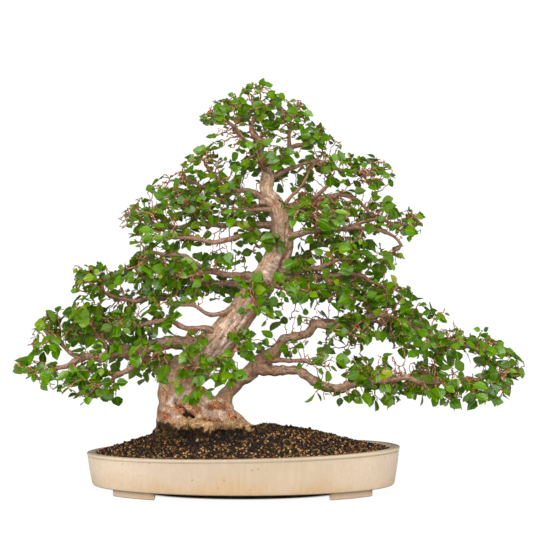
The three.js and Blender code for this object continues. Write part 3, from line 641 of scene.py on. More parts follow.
def add(tree, kind, inputs=None, **settings):
    """One node with its settings. Each input is a plain value or another node's output."""
    made = tree.nodes.new(kind)
    for name, value in settings.items():
        setattr(made, name, value)
    for name, value in (inputs or {}).items():
        if isinstance(value, bpy.types.NodeSocket):
            tree.links.new(value, made.inputs[name])
        else:
            made.inputs[name].default_value = value
    return made


def mixed(tree, factor, first, second):
    return add(tree, "ShaderNodeMix", {0: factor, 6: first, 7: second}, data_type="RGBA").outputs[2]


def calc(tree, operation, first, second=0.0):
    return add(tree, "ShaderNodeMath", {0: first, 1: second}, operation=operation).outputs[0]


def product(tree, first, second):
    return calc(tree, "MULTIPLY", first, second)


def painted(tree, name, share):
    """A painted mask, made weaker by a share."""
    return product(tree, attribute(tree, name), share)


def fitted(tree, value, low, high, to_low=0.0, to_high=1.0):
    inputs = {"Value": value, "From Min": low, "From Max": high, "To Min": to_low, "To Max": to_high}
    return add(tree, "ShaderNodeMapRange", inputs, interpolation_type="SMOOTHSTEP").outputs[0]


def graded(tree, value, stops, steps=False):
    """A colour for each value, from stops of a position and a colour."""
    made = add(tree, "ShaderNodeValToRGB", {0: value})
    made.color_ramp.interpolation = "CONSTANT" if steps else "LINEAR"
    elements = made.color_ramp.elements
    while len(elements) < len(stops):
        elements.new(0.5)
    for element, (position, code) in zip(elements, stops):
        element.position = position
        element.color = colour(code)
    return made.outputs[0]


def stretched(tree, vector, scale):
    return add(tree, "ShaderNodeMapping", {"Vector": vector, "Scale": scale}).outputs[0]


def cloud(tree, vector, scale, detail=3.0, roughness=0.55, distortion=0.0):
    inputs = {"Vector": vector, "Scale": scale, "Detail": detail}
    inputs.update({"Roughness": roughness, "Distortion": distortion})
    return add(tree, "ShaderNodeTexNoise", inputs).outputs[0]


def attribute(tree, name, output="Fac"):
    return add(tree, "ShaderNodeAttribute", attribute_name=name).outputs[output]


def new_material(name, **settings):
    """A material's tree and its shader, with the settings that are the same all over the surface."""
    material = bpy.data.materials.new(name)
    material.use_nodes = True
    tree = material.node_tree
    shader = tree.nodes["Principled BSDF"]
    for key, value in settings.items():
        label = key.replace("_", " ").title().replace("Ior", "IOR")
        shader.inputs[label].default_value = value
    return material, tree, shader


def new_group(name, inputs, outputs):
    tree = bpy.data.node_groups.new(name, "ShaderNodeTree")
    for label, kind in inputs.items():
        tree.interface.new_socket(label, in_out="INPUT", socket_type=kind)
    for label, kind in outputs.items():
        tree.interface.new_socket(label, in_out="OUTPUT", socket_type=kind)
    return tree, tree.nodes.new("NodeGroupInput"), tree.nodes.new("NodeGroupOutput")


def bark_group():
    """Fibres, plates and cracks of bark in the straightened wood's own directions."""
    tree, given, out = new_group(
        "bark grain",
        {"Place": "NodeSocketVector", "Scale": "NodeSocketFloat", "Stretch": "NodeSocketVector"},
        {"Fibre": "NodeSocketFloat", "Plate": "NodeSocketFloat", "Crack": "NodeSocketFloat"},
    )
    place_in = stretched(tree, given.outputs[0], given.outputs[2])
    fibre = cloud(tree, place_in, product(tree, given.outputs[1], 3.4), 5.0, 0.7, 0.4)
    plate = cloud(tree, place_in, given.outputs[1], 3.0, 0.6, 0.8)
    bend = cloud(tree, place_in, given.outputs[1], 2.0)
    bent = add(tree, "ShaderNodeVectorMath", {0: place_in, 1: bend}).outputs[0]
    inputs = {"Vector": bent, "Scale": product(tree, given.outputs[1], 1.3)}
    cells = add(tree, "ShaderNodeTexVoronoi", inputs, feature="DISTANCE_TO_EDGE").outputs[0]
    lines = fitted(tree, cells, 0.0, 0.09, 1.0, 0.0)
    broken = product(tree, lines, fitted(tree, plate, 0.45, 0.6))
    tree.links.new(fibre, out.inputs[0])
    tree.links.new(plate, out.inputs[1])
    tree.links.new(broken, out.inputs[2])
    return tree


def speckle_group():
    """Small round marks scattered over a surface, about one for each cell of the scale."""
    tree, given, out = new_group(
        "scattered specks",
        {"Place": "NodeSocketVector", "Scale": "NodeSocketFloat", "Size": "NodeSocketFloat"},
        {"Mask": "NodeSocketFloat"},
    )
    cells = add(tree, "ShaderNodeTexVoronoi", {"Vector": given.outputs[0], "Scale": given.outputs[1]})
    near = calc(tree, "LESS_THAN", cells.outputs["Distance"], given.outputs[2])
    dice = add(tree, "ShaderNodeSeparateColor", {0: cells.outputs["Color"]}).outputs[0]
    some = calc(tree, "GREATER_THAN", dice, 0.55)
    tree.links.new(product(tree, near, some), out.inputs[0])
    return tree


def use_group(tree, group, values):
    return add(tree, "ShaderNodeGroup", values, node_tree=group)


def set_colour(tree, shader, value):
    tree.links.new(value, shader.inputs["Base Color"])


def set_roughness(tree, shader, value):
    tree.links.new(value, shader.inputs["Roughness"])


def bump(tree, shader, height, distance, strength=1.0):
    made = add(tree, "ShaderNodeBump", {"Height": height, "Distance": distance, "Strength": strength})
    tree.links.new(made.outputs[0], shader.inputs["Normal"])


def object_place(tree):
    return add(tree, "ShaderNodeTexCoord").outputs["Object"]


BARK = bark_group()
SPECKS = speckle_group()


def trunk_bark():
    """Pinkish tan bark with pale plates and brown cracks, and patches of old wood and rot where painted."""
    material, tree, shader = new_material("trunk bark", specular_ior_level=0.2)
    where = object_place(tree)
    height = add(tree, "ShaderNodeSeparateXYZ", {0: where}).outputs[2]
    upright = fitted(tree, height, 0.16, 0.26)
    base_grain = use_group(tree, BARK, {"Place": where, "Scale": 105.0, "Stretch": (1, 1, 0.85)})
    straight = attribute(tree, "grain", "Vector")
    stem_grain = use_group(tree, BARK, {"Place": straight, "Scale": 90.0, "Stretch": (1, 1, 0.45)})
    fibre, plate, crack = (
        add(tree, "ShaderNodeMix", {0: upright, 2: low, 3: high}).outputs[0]
        for low, high in zip(base_grain.outputs, stem_grain.outputs)
    )
    wide = cloud(tree, where, 16.0, 3.0)
    bark = graded(tree, plate, [(0.39, "#8a5430"), (0.46, "#c8925f"), (0.53, "#e8bc90"), (0.63, "#fde0c0")])
    flecks = graded(tree, fibre, [(0.39, "#70391b"), (0.46, "#bc8052"), (0.52, "#e8bc92"), (0.6, "#fdeede")])
    base = mixed(tree, 0.6, bark, flecks)
    base = mixed(tree, fitted(tree, wide, 0.45, 0.7, 0.0, 0.3), base, colour("#d0a27c"))
    blotch = cloud(tree, where, 42.0, 4.0)
    base = mixed(tree, fitted(tree, blotch, 0.53, 0.63, 0.0, 0.6), base, colour("#ffe6d0"))
    rusty = fitted(tree, blotch, 0.47, 0.37, 0.0, 0.55)
    rusty = product(tree, rusty, fitted(tree, upright, 0.0, 1.0, 1.0, 0.25))
    base = mixed(tree, rusty, base, colour("#a86038"))
    crack = product(tree, crack, fitted(tree, upright, 0.0, 1.0, 0.75, 0.45))
    base = mixed(tree, crack, base, colour("#75422a"))
    base = mixed(tree, fitted(tree, upright, 0.0, 1.0, 0.0, 0.15), base, colour("#f4d6c2"))
    ragged = calc(tree, "SUBTRACT", fibre, 0.5)
    base = mixed(tree, painted(tree, "slender", 0.42), base, colour("#845a3c"))
    # Painted shade: the bark darkens where it faces the ground.
    base = mixed(tree, painted(tree, "underside", 0.58), base, colour("#4e3320"))
    # Darker in the carved grooves, deepest where the wood is cut most: partly the fissures' own brown,
    # partly painted shade.
    crease = calc(tree, "ADD", attribute(tree, "crease"), product(tree, ragged, 0.9))
    base = mixed(tree, fitted(tree, crease, 0.25, 0.8, 0.0, 0.6), base, colour("#7d4e34"))
    layers = [
        ("aged", 0.42, [(0.38, "#684a2e"), (0.5, "#b08a60"), (0.64, "#dcb88e")]),
        ("grey", 0.8, [(0.3, "#cdb6b0"), (0.7, "#efe0dc")]),
        ("chalky", 0.4, [(0.38, "#b98a6c"), (0.5, "#ecd2c2"), (0.62, "#fff2ea")]),
        ("pale", 0.9, [(0.39, "#8e6238"), (0.46, "#bf905e"), (0.54, "#dab27e"), (0.64, "#f0d0a4")]),
        ("rot", 0.8, [(0.4, "#6f3218"), (0.48, "#b86234"), (0.56, "#e09a66"), (0.66, "#f0c4a0")]),
        ("earthy", 1.0, [(0.42, "#0f0805"), (0.52, "#2c1a10"), (0.6, "#523522"), (0.7, "#80603c")]),
        # hollow: painted shade, near black, deep in the cracks and the slot.
        ("hollow", 1.0, [(0.4, "#050302"), (0.7, "#1c0f09")]),
    ]
    for name, strength, stops in layers:
        mask = calc(tree, "ADD", attribute(tree, name), product(tree, ragged, 2.2))
        mask = fitted(tree, mask, 0.3, 0.75, 0.0, strength)
        base = mixed(tree, mask, base, graded(tree, fibre, stops))
    moss = fitted(tree, cloud(tree, where, 95.0), 0.54, 0.62)
    base = mixed(tree, product(tree, attribute(tree, "earthy"), moss), base, colour("#4d4a16"))
    set_colour(tree, shader, base)
    set_roughness(tree, shader, fitted(tree, fibre, 0.3, 0.7, 0.92, 0.72))
    height = calc(tree, "SUBTRACT", calc(tree, "ADD", fibre, plate), product(tree, crack, 0.9))
    bump(tree, shader, height, 0.0022)
    return material


def limb_bark():
    """Smoother grey-brown bark with short cross marks."""
    material, tree, shader = new_material("limb bark", specular_ior_level=0.2)
    straight = attribute(tree, "grain", "Vector")
    grain = use_group(tree, BARK, {"Place": straight, "Scale": 110.0, "Stretch": (1, 1, 0.5)})
    fibre, plate, crack = grain.outputs[0], grain.outputs[1], grain.outputs[2]
    bark = graded(tree, plate, [(0.38, "#76503a"), (0.5, "#ac856b"), (0.62, "#e4c8b0")])
    flecks = graded(tree, fibre, [(0.4, "#52321f"), (0.48, "#a87d5c"), (0.58, "#eed0b6")])
    base = mixed(tree, 0.5, bark, flecks)
    base = mixed(tree, product(tree, crack, 0.6), base, colour("#5f3f2b"))
    thin = mixed(tree, 0.5, base, colour("#ae7a5c"))
    base = mixed(tree, attribute(tree, "thin"), base, thin)
    # Painted shade: the bark darkens where it faces the ground.
    base = mixed(tree, painted(tree, "underside", 0.58), base, colour("#4e3320"))
    set_colour(tree, shader, base)
    set_roughness(tree, shader, fitted(tree, fibre, 0.3, 0.7, 0.85, 0.6))
    bump(tree, shader, calc(tree, "SUBTRACT", fibre, product(tree, crack, 0.6)), 0.0011)
    return material


def twig_bark():
    """Thin reddish bark, paler where a twig is older."""
    material, tree, shader = new_material("twig bark", roughness=0.7, specular_ior_level=0.2)
    patches = cloud(tree, object_place(tree), 160.0, 2.0)
    young = graded(tree, patches, [(0.38, "#7a3d22"), (0.5, "#a86844"), (0.62, "#cc9670")])
    old = graded(tree, patches, [(0.38, "#745038"), (0.5, "#a88060"), (0.62, "#d2ac8c")])
    set_colour(tree, shader, mixed(tree, attribute(tree, "old"), young, old))
    bump(tree, shader, patches, 0.0006)
    return material


LEAF_TONES = [
    (0.0, "#294900"), (0.25, "#3e6900"), (0.5, "#548200"), (0.75, "#689a04"), (0.96, "#7ca40c"),
    (1.0, "#a0ac1c"),
]


def leaf_material():
    """A glossy green blade with a pale midrib and side veins, and a dull pale underside."""
    material, tree, shader = new_material("leaf", specular_ior_level=0.6)
    blade = add(tree, "ShaderNodeUVMap", uv_map="blade").outputs[0]
    blade = add(tree, "ShaderNodeSeparateXYZ", {0: blade})
    from_rib = calc(tree, "ABSOLUTE", calc(tree, "SUBTRACT", blade.outputs[0], 0.5))
    tone = attribute(tree, "tone")
    green = graded(tree, tone, LEAF_TONES)
    rib = fitted(tree, from_rib, 0.012, 0.035, 1.0, 0.0)
    slanted = calc(tree, "SUBTRACT", blade.outputs[1], product(tree, from_rib, 0.75))
    wave = calc(tree, "FRACT", product(tree, slanted, 9.0))
    wave = calc(tree, "ABSOLUTE", calc(tree, "SUBTRACT", wave, 0.5))
    vein = fitted(tree, wave, 0.02, 0.12, 1.0, 0.0)
    green = mixed(tree, product(tree, vein, 0.16), green, colour("#8fb80c"))
    green = mixed(tree, product(tree, rib, 0.5), green, colour("#a6c818"))
    under = attribute(tree, "underside")
    green = mixed(tree, product(tree, under, 0.35), green, colour("#86a638"))
    set_colour(tree, shader, green)
    set_roughness(tree, shader, fitted(tree, under, 0.0, 1.0, 0.14, 0.6))
    bump(tree, shader, calc(tree, "SUBTRACT", wave, rib), 0.0004, 0.6)
    through = add(tree, "ShaderNodeBsdfTranslucent", {"Color": mixed(tree, 0.5, green, colour("#96b408"))})
    both = add(tree, "ShaderNodeMixShader", {0: 0.2, 1: shader.outputs[0], 2: through.outputs[0]})
    tree.links.new(both.outputs[0], tree.nodes["Material Output"].inputs["Surface"])
    return material


def pot_glaze():
    """Cream glaze, pinker to the left, stained ochre towards the base, with small dark specks."""
    material, tree, shader = new_material("pot glaze", coat_weight=0.25, coat_roughness=0.35)
    where = object_place(tree)
    axes = add(tree, "ShaderNodeSeparateXYZ", {0: where})
    soft = cloud(tree, where, 9.0, 4.0)
    fine = cloud(tree, where, 120.0, 4.0, 0.6)
    cream = mixed(tree, fitted(tree, axes.outputs[0], -0.33, 0.15), colour("#bca893"), colour("#b49f83"))
    # Painted light: the oval's two ends are painted paler, as if lit from the sides.
    ends = fitted(tree, calc(tree, "ABSOLUTE", calc(tree, "ADD", axes.outputs[0], -POT_X)), 0.1, 0.28)
    cream = mixed(tree, ends, cream, colour("#d9c4aa"))
    cream = mixed(tree, fitted(tree, soft, 0.4, 0.65, 0.0, 0.5), cream, colour("#c5af96"))
    low = calc(tree, "ADD", axes.outputs[2], product(tree, calc(tree, "SUBTRACT", soft, 0.5), 0.09))
    stain = product(tree, fitted(tree, low, 0.012, 0.05, 0.7, 0.0), fitted(tree, ends, 0.0, 1.0, 1.0, 0.45))
    cream = mixed(tree, stain, cream, colour("#ba976a"))
    cream = mixed(tree, fitted(tree, fine, 0.4, 0.7, 0.0, 0.22), cream, colour("#b59876"))
    runs = cloud(tree, stretched(tree, where, (1.0, 1.0, 0.06)), 170.0, 2.0)
    cream = mixed(tree, fitted(tree, runs, 0.42, 0.7, 0.0, 0.12), cream, colour("#ddc8ab"))
    marks = use_group(tree, SPECKS, {"Place": where, "Scale": 62.0, "Size": 0.085})
    cream = mixed(tree, product(tree, marks.outputs[0], 0.75), cream, colour("#6b4c2c"))
    # Painted shade: a thin dark line under the lip's overhang.
    line = product(tree, attribute(tree, "under_lip"), fitted(tree, soft, 0.3, 0.6, 0.45, 0.9))
    cream = mixed(tree, line, cream, colour("#857a5a"))
    # Painted shade on the pot's downward faces under its base.
    cream = mixed(tree, attribute(tree, "underneath"), cream, colour("#4f3d2e"))
    set_colour(tree, shader, cream)
    set_roughness(tree, shader, fitted(tree, fine, 0.3, 0.7, 0.42, 0.62))
    bump(tree, shader, fine, 0.0004, 0.7)
    return material


GRIT_TONES = [
    (0.0, "#0b0705"), (0.22, "#1d110a"), (0.4, "#3d2413"), (0.56, "#63391d"), (0.68, "#8a5528"),
    (0.77, "#b17a3a"), (0.84, "#bd9252"), (0.9, "#d6b57e"), (0.95, "#b5784f"), (0.98, "#5c6a18"),
]


def grit_material():
    """Each grain has its own tone: mostly brown and black, with tan, ochre, pink and a few green ones."""
    material, tree, shader = new_material("grit", roughness=0.92)
    tone = graded(tree, attribute(tree, "tone"), GRIT_TONES, steps=True)
    rough = cloud(tree, object_place(tree), 900.0, 2.0)
    set_colour(tree, shader, mixed(tree, fitted(tree, rough, 0.35, 0.7, 0.0, 0.4), tone, colour("#2a1a10")))
    bump(tree, shader, rough, 0.0006)
    return material


def soil_material():
    """The dark fines between the grains."""
    material, tree, shader = new_material("soil fines", roughness=0.95)
    fine = cloud(tree, object_place(tree), 500.0, 3.0)
    set_colour(tree, shader, graded(tree, fine, [(0.4, "#080504"), (0.55, "#20140c"), (0.7, "#4a2f1c")]))
    bump(tree, shader, fine, 0.002)
    return material


MOSS_TONES = [
    (0.0, "#150d08"), (0.3, "#2e1c10"), (0.55, "#4c2f1a"), (0.74, "#5a4418"), (0.85, "#6a6422"),
    (0.92, "#9a5c30"),
]


def moss_material():
    """Dark crust with olive moss and a few reddish flakes."""
    material, tree, shader = new_material("moss and crust", roughness=0.95)
    set_colour(tree, shader, graded(tree, attribute(tree, "tone"), MOSS_TONES, steps=True))
    return material


def net_material():
    """Black moulded plastic, scuffed grey along its bars."""
    material, tree, shader = new_material("net plastic", roughness=0.5)
    scuffs = cloud(tree, object_place(tree), 400.0, 4.0)
    set_colour(tree, shader, graded(tree, scuffs, [(0.4, "#10100f"), (0.7, "#35352f")]))
    bump(tree, shader, scuffs, 0.0002)
    return material


# Pot

def pot_ring(now, then, rise):
    """Extrudes the selected outline to another oval: offsets in from the rim, and how far it rises."""
    bpy.ops.mesh.extrude_region_move(TRANSFORM_OT_translate={"value": (0, 0, rise * MM)})
    wide = [POT_LENGTH / 2 - offset for offset in (now, then)]
    deep = [POT_WIDTH / 2 - offset for offset in (now, then)]
    bpy.ops.transform.resize(value=(wide[1] / wide[0], deep[1] / deep[0], 1), center_override=(POT_X, 0, 0))


def make_pot():
    """The shell is drawn up from its base, ring by ring, over the rim and down inside. Feet follow."""
    bpy.ops.object.select_all(action="DESELECT")
    bpy.ops.mesh.primitive_circle_add(
        vertices=POT_SIDES, radius=1, fill_type="NGON", location=(POT_X, 0, POT_FOOT_HEIGHT * MM),
    )
    pot = bpy.context.object
    pot.name = "pot_shell"
    bpy.ops.object.mode_set(mode="EDIT")
    bpy.ops.transform.resize(
        value=((POT_LENGTH / 2 - BASE_INSET) * MM, (POT_WIDTH / 2 - BASE_INSET) * MM, 1),
        center_override=(POT_X, 0, 0),
    )
    # Each ring's offset in from the rim, and how far it rises over the ring before it.
    rings = [
        (13.2, 0.9), (11.2, 1.9), (9.9, 3.4), (8.5, 8), (6.4, 12), (4.2, 14), (2.4, 14), (1.5, 7.4),
        (1.4, 1.8), (1.3, 1.2), (0.3, 0.9), (0, 0.9), (0, 2.2), (0.5, 0.9), (1.6, 0.4),
        (15, 0.1), (16.4, -0.5), (17, -1.4), (18.2, -12), (20, -22), (23, -16), (30, -5.6), (46, -2.2),
    ]
    offset = BASE_INSET
    for new_offset, rise in rings:
        pot_ring(offset, new_offset, rise)
        offset = new_offset
    bpy.ops.object.mode_set(mode="OBJECT")
    bpy.ops.object.transform_apply(location=True, rotation=True, scale=True)
    make_feet(pot)
    for side in (-0.5, 0.5):
        drill_hole(pot, side * DRAIN_SPACING)
    corners = corners_of(pot)
    across, heights = (corners[:, 0] - POT_X) / MM, corners[:, 2] / MM
    floor = POT_FOOT_HEIGHT + POT_FLOOR
    rise = np.clip((heights - floor) / (POT_HEIGHT - floor), 0, 1)
    corners[:, 2] += rise * across * math.tan(RIM_TILT) * MM
    for i, point in enumerate(corners):
        wobble = noise.noise(Vector(point) * 9) * 0.5 * MM * rise[i]
        corners[i, :2] *= 1 + wobble / max(0.1, math.hypot(point[0], point[1]))
    move_corners(pot, corners)
    # A thin band just under the lip, where a line of shade is painted.
    lip = np.clip(1 - np.abs(heights - (POT_HEIGHT - 5.6)) / 1.9, 0, 1)
    outer = ((across / (POT_LENGTH / 2)) ** 2 + (corners[:, 1] / MM / (POT_WIDTH / 2)) ** 2) > 0.93
    paint(pot, "under_lip", lip * outer)
    # The downward faces under the base, for painted shade.
    below = np.clip(-normals_of(pot)[:, 2] * 3 - 1.6, 0, 1) * (heights < POT_FOOT_HEIGHT + 1)
    paint(pot, "underneath", below)
    smooth_shade(pot, 40)
    return finish_piece(pot, pot_glaze(), "pot_glaze", "pot")


def make_feet(pot):
    """Four stretches of the base's edge are inset and drawn down to the ground."""
    only(pot)
    bpy.ops.object.mode_set(mode="EDIT")
    bpy.ops.mesh.select_all(action="DESELECT")
    bpy.ops.object.mode_set(mode="OBJECT")
    for face in pot.data.polygons:
        face.select = face.normal.z < -0.999 and face.center.z < (POT_FOOT_HEIGHT + 0.2) * MM
    bpy.ops.object.mode_set(mode="EDIT")
    bpy.ops.mesh.inset(thickness=FOOT_MARGIN * MM)
    bpy.ops.mesh.inset(thickness=FOOT_BAND * MM)
    bpy.ops.mesh.select_all(action="DESELECT")
    bpy.ops.object.mode_set(mode="OBJECT")
    inner = (POT_LENGTH / 2 - BASE_INSET - FOOT_BAND - 1) / (POT_LENGTH / 2)
    for face in pot.data.polygons:
        middle = face.center
        band = face.normal.z < -0.9 and middle.z < (POT_FOOT_HEIGHT + 0.5) * MM and len(face.vertices) == 4
        x, y = (middle.x - POT_X) / (POT_LENGTH / 2 * MM), middle.y / (POT_WIDTH / 2 * MM)
        angle = math.degrees(math.atan2(abs(y), abs(x)))
        out = math.hypot(x, y)
        face.select = band and FOOT_FROM < angle < FOOT_TO and inner < out < FOOT_OUTER + 0.005
    bpy.ops.object.mode_set(mode="EDIT")
    for drop in FOOT_DROPS:
        bpy.ops.mesh.extrude_region_move(TRANSFORM_OT_translate={"value": (0, 0, -drop * MM)})
    bpy.ops.mesh.inset(thickness=1.6 * MM)
    bpy.ops.object.mode_set(mode="OBJECT")
    corners = corners_of(pot)
    across, deep = (corners[:, 0] - POT_X) / MM / (POT_LENGTH / 2), corners[:, 1] / MM / (POT_WIDTH / 2)
    turn, out = np.degrees(np.arctan2(np.abs(deep), np.abs(across))), np.hypot(across, deep)
    # Squares the feet's ends, most at their inner edge.
    share = np.clip((turn - FOOT_FROM) / (FOOT_TO - FOOT_FROM), 0, 1) * (turn < FOOT_TO + 1)
    share *= np.clip((FOOT_OUTER - out) / 0.1, 0, 1) * (out > inner - 0.08)
    share *= corners[:, 2] < (POT_FOOT_HEIGHT + 0.2) * MM
    corners[:, 0] += np.sign(across) * share * FOOT_SQUARE * MM
    level = np.abs(corners[:, 2]) < 1e-5
    corners[corners_at_edge(pot, level), 2] += FOOT_ROUNDING * MM
    move_corners(pot, corners)


def corners_at_edge(piece, level):
    """Which of the level corners also belong to an upright face."""
    found = np.zeros(len(level), bool)
    for face in piece.data.polygons:
        if abs(face.normal.z) < 0.5:
            for corner in face.vertices:
                found[corner] |= level[corner]
    return found


def drill_hole(pot, across):
    bpy.ops.object.select_all(action="DESELECT")
    bpy.ops.mesh.primitive_cylinder_add(
        vertices=32, radius=DRAIN_RADIUS * MM, depth=0.06, location=(POT_X + across * MM, 0, 0.02),
    )
    drill = bpy.context.object
    apply_modifier(pot, "BOOLEAN", operation="DIFFERENCE", object=drill, solver="EXACT")
    bpy.data.objects.remove(drill)


# Soil

def make_soil():
    """A closed bed with a lumpy heap for its top, which the loose grains then cover."""
    rings, sides = 34, 120
    long_half, short_half = SOIL_REACH
    corners = []
    for ring in range(rings + 1):
        share = 1 - ring / rings
        for turn in range(sides):
            angle = 2 * math.pi * turn / sides
            x, y = long_half * share * math.cos(angle), short_half * share * math.sin(angle)
            corners.append(place(x, y, soil_height(x, y) + soil_lump(x, y) - 2.2))
            if ring == rings:
                break
    middle = len(corners) - 1
    for level, shrink in ((60, 2), (26, 9)):
        for turn in range(sides):
            angle = 2 * math.pi * turn / sides
            x, y = (long_half - shrink) * math.cos(angle), (short_half - shrink) * math.sin(angle)
            corners.append(place(x, y, level))
    faces = []
    for ring in range(rings - 1):
        faces += ring_faces(ring * sides, (ring + 1) * sides, sides)
    last = (rings - 1) * sides
    faces += [(last + turn, last + (turn + 1) % sides, middle) for turn in range(sides)]
    upper, lower = middle + 1, middle + 1 + sides
    faces += ring_faces(upper, 0, sides) + ring_faces(lower, upper, sides)
    faces.append(tuple(reversed(range(lower, lower + sides))))
    soil = mesh_piece("soil_bed", corners, faces)
    smooth_shade(soil, 60)
    return finish_piece(soil, soil_material(), "soil_grit", "soil")


def grain_shape(squash):
    """An angular crumb: a box with every corner knocked out of true."""
    corners = []
    for x in (-1, 1):
        for y in (-1, 1):
            for z in (-1, 1):
                corners.append([value * chance.uniform(0.45, 1.0) for value in (x, y, z * squash)])
    faces = [(0, 1, 3, 2), (4, 6, 7, 5), (0, 4, 5, 1), (2, 3, 7, 6), (0, 2, 6, 4), (1, 5, 7, 3)]
    return np.array(corners), faces


def copies(name, shapes, spots):
    """One piece made of many copies. A spot holds a shape's number, a matrix, a place and a tone."""
    corners, faces, tones, first = [], [], [], 0
    for which, turn, centre, tone in spots:
        shape, shape_faces = shapes[which]
        corners.append(shape @ turn.T + centre)
        faces += shifted(shape_faces, first)
        tones.append(np.full(len(shape_faces), tone))
        first += len(shape)
    piece = mesh_piece(name, np.vstack(corners), faces)
    paint(piece, "tone", np.concatenate(tones), "FACE")
    return piece


def random_turn(size):
    """A matrix for a random turn and a size."""
    axis = Vector([chance.gauss(0, 1) for _ in range(3)]).normalized()
    return np.array(Matrix.Rotation(chance.uniform(0, math.tau), 3, axis)) * size


def peaty(across, depth):
    """How dark the soil is: round the foot of the trunk it is peat and crumbs of old root."""
    best = 1e9
    for (ax, ay), (bx, by) in zip(PEAT_LINE, PEAT_LINE[1:]):
        line = Vector((bx - ax, by - ay))
        share = min(1.0, max(0.0, Vector((across - ax, depth - ay)).dot(line) / line.length_squared))
        best = min(best, math.hypot(across - ax - line.x * share, depth - ay - line.y * share))
    ragged = 16 * noise.noise(Vector((across, depth, 0)) * 0.05)
    return float(smoothstep((PEAT_REACH + ragged - best) / 26))


def scatter_grit(name, count, sizes):
    """Loose grains all over the heap."""
    shapes = [grain_shape(chance.uniform(0.6, 1.0)) for _ in range(GRAIN_SHAPES)]
    long_half, short_half = SOIL_REACH
    golden = math.pi * (3 - math.sqrt(5))
    spots = []
    for i in range(count):
        out = math.sqrt((i + 0.5) / count)
        angle = i * golden + chance.uniform(-0.5, 0.5)
        x = long_half * out * math.cos(angle) + chance.uniform(-2, 2)
        y = short_half * out * math.sin(angle) + chance.uniform(-2, 2)
        if math.hypot(x / long_half, y / short_half) > 0.992:
            continue
        size = chance.uniform(*sizes) * (1 if chance.random() < 0.85 else 1.3)
        height = soil_height(x, y) + soil_lump(x, y) - GRAIN_SINK + chance.uniform(-0.8, 0.6)
        damp = peaty(x, y)
        tone = chance.random() * (1 - 0.6 * damp) if chance.random() > 0.06 else chance.random()
        which, turn = chance.randrange(GRAIN_SHAPES), random_turn(size / 2 * MM)
        spots.append((which, turn, np.array(place(x, y, height)), tone))
    piece = copies(name, shapes, spots)
    return finish_piece(piece, GRIT, "soil_grit", "soil")


# Moss and crust

MOSS_BLADE = (
    np.array([(-0.2, 0, 0), (0.2, 0, 0), (0, 0.2, 0), (0.1, 0.1, 2.4)]),
    [(0, 2, 1), (0, 1, 3), (1, 2, 3), (2, 0, 3)],
)


def leaning(most):
    """A matrix that leans a blade by up to most, any way round."""
    lean, turn = chance.uniform(-most, most), chance.uniform(0, 6.3)
    return np.array(Matrix.Rotation(lean, 3, "X") @ Matrix.Rotation(turn, 3, "Z"))


def make_moss(name, node, fill):
    """A low mound of small ragged crumbs and blades that covers the node's place."""
    low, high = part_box(node)
    middle, half = (low + high) / 2, (high - low) / 2
    shapes = [grain_shape(0.7) for _ in range(6)] + [MOSS_BLADE]
    spots = []
    for _ in range(MOSS_TUFTS):
        angle, out = chance.uniform(0, math.tau), math.sqrt(chance.random())
        x = middle.x + half.x * out * math.cos(angle)
        y = middle.y + half.y * out * math.sin(angle)
        across, depth = (x - POT_X) / MM, y / MM
        ground = soil_height(across, depth) * MM
        dome = max(0.0, high.z - ground) * (1 - out * out) * fill
        lump = 2 * noise.noise(Vector((x, y, 0)) * 60)
        for layer in (0.35, 0.7, 1.0):
            centre = np.array((x, y, ground + dome * layer + lump * MM))
            bladed = layer == 1.0 and chance.random() < 0.25
            turn = random_turn(chance.uniform(1.2, 2.6) * MM)
            if bladed:
                turn = leaning(0.7) * chance.uniform(1.2, 2.2) * MM
            which = 6 if bladed else chance.randrange(6)
            spots.append((which, turn, centre, chance.random()))
    piece = copies(name, shapes, spots)
    return finish_piece(piece, MOSS, "moss", node)


def scatter_sprigs(count):
    """Small upright tufts of moss among the grains, thickest where the soil is peaty."""
    shapes = [MOSS_BLADE] + [grain_shape(0.8) for _ in range(4)]
    spots = []
    while len(spots) < count:
        angle, out = chance.uniform(0, math.tau), 0.94 * math.sqrt(chance.random())
        x, y = SOIL_REACH[0] * out * math.cos(angle), SOIL_REACH[1] * out * math.sin(angle)
        if chance.random() > 0.16 + 0.84 * peaty(x, y):
            continue
        tone = chance.uniform(0.3, 0.9)
        if chance.random() < 0.45:
            centre = np.array(place(x, y, soil_height(x, y) + 0.6))
            which, turn = chance.randrange(1, 5), random_turn(chance.uniform(2.0, 4.4) * MM)
            spots.append((which, turn, centre, tone * 0.7))
        for _ in range(chance.randrange(4, 9)):
            lean = leaning(0.8)
            side, deep = x + chance.uniform(-3, 3), y + chance.uniform(-3, 3)
            centre = np.array(place(side, deep, soil_height(side, deep) - 0.6))
            turn = lean * chance.uniform(1.1, 2.6) * MM
            spots.append((0, turn, centre, min(1, tone + chance.uniform(-0.1, 0.1))))
    piece = copies("moss_sprigs", shapes, spots)
    return finish_piece(piece, MOSS, "moss", "moss_left", "moss_right")


# Wood

def muscles(angle, share, length):
    """Broad flutes low on the trunk that fade with height, over small unevenness all the way."""
    strength = 0.5 + 0.9 * max(0.0, 1 - share / 0.4)
    around = Vector((math.cos(angle) * 1.7, math.sin(angle) * 1.7, length * 7))
    fine = Vector((math.cos(angle) * 3.6, math.sin(angle) * 3.6, length * 24))
    return 1 + strength * 0.09 * noise.noise(around) + 0.05 * noise.noise(fine)


def knuckled(seed):
    """How a limb swells at its knots, other knots for each seed."""
    def swelling(angle, share, length):
        knot = 0.14 * noise.noise(Vector((seed, length * 60, 0)))
        return 1 + knot + 0.14 * noise.noise(Vector((math.cos(angle), math.sin(angle), length * 45 + seed)))
    return swelling


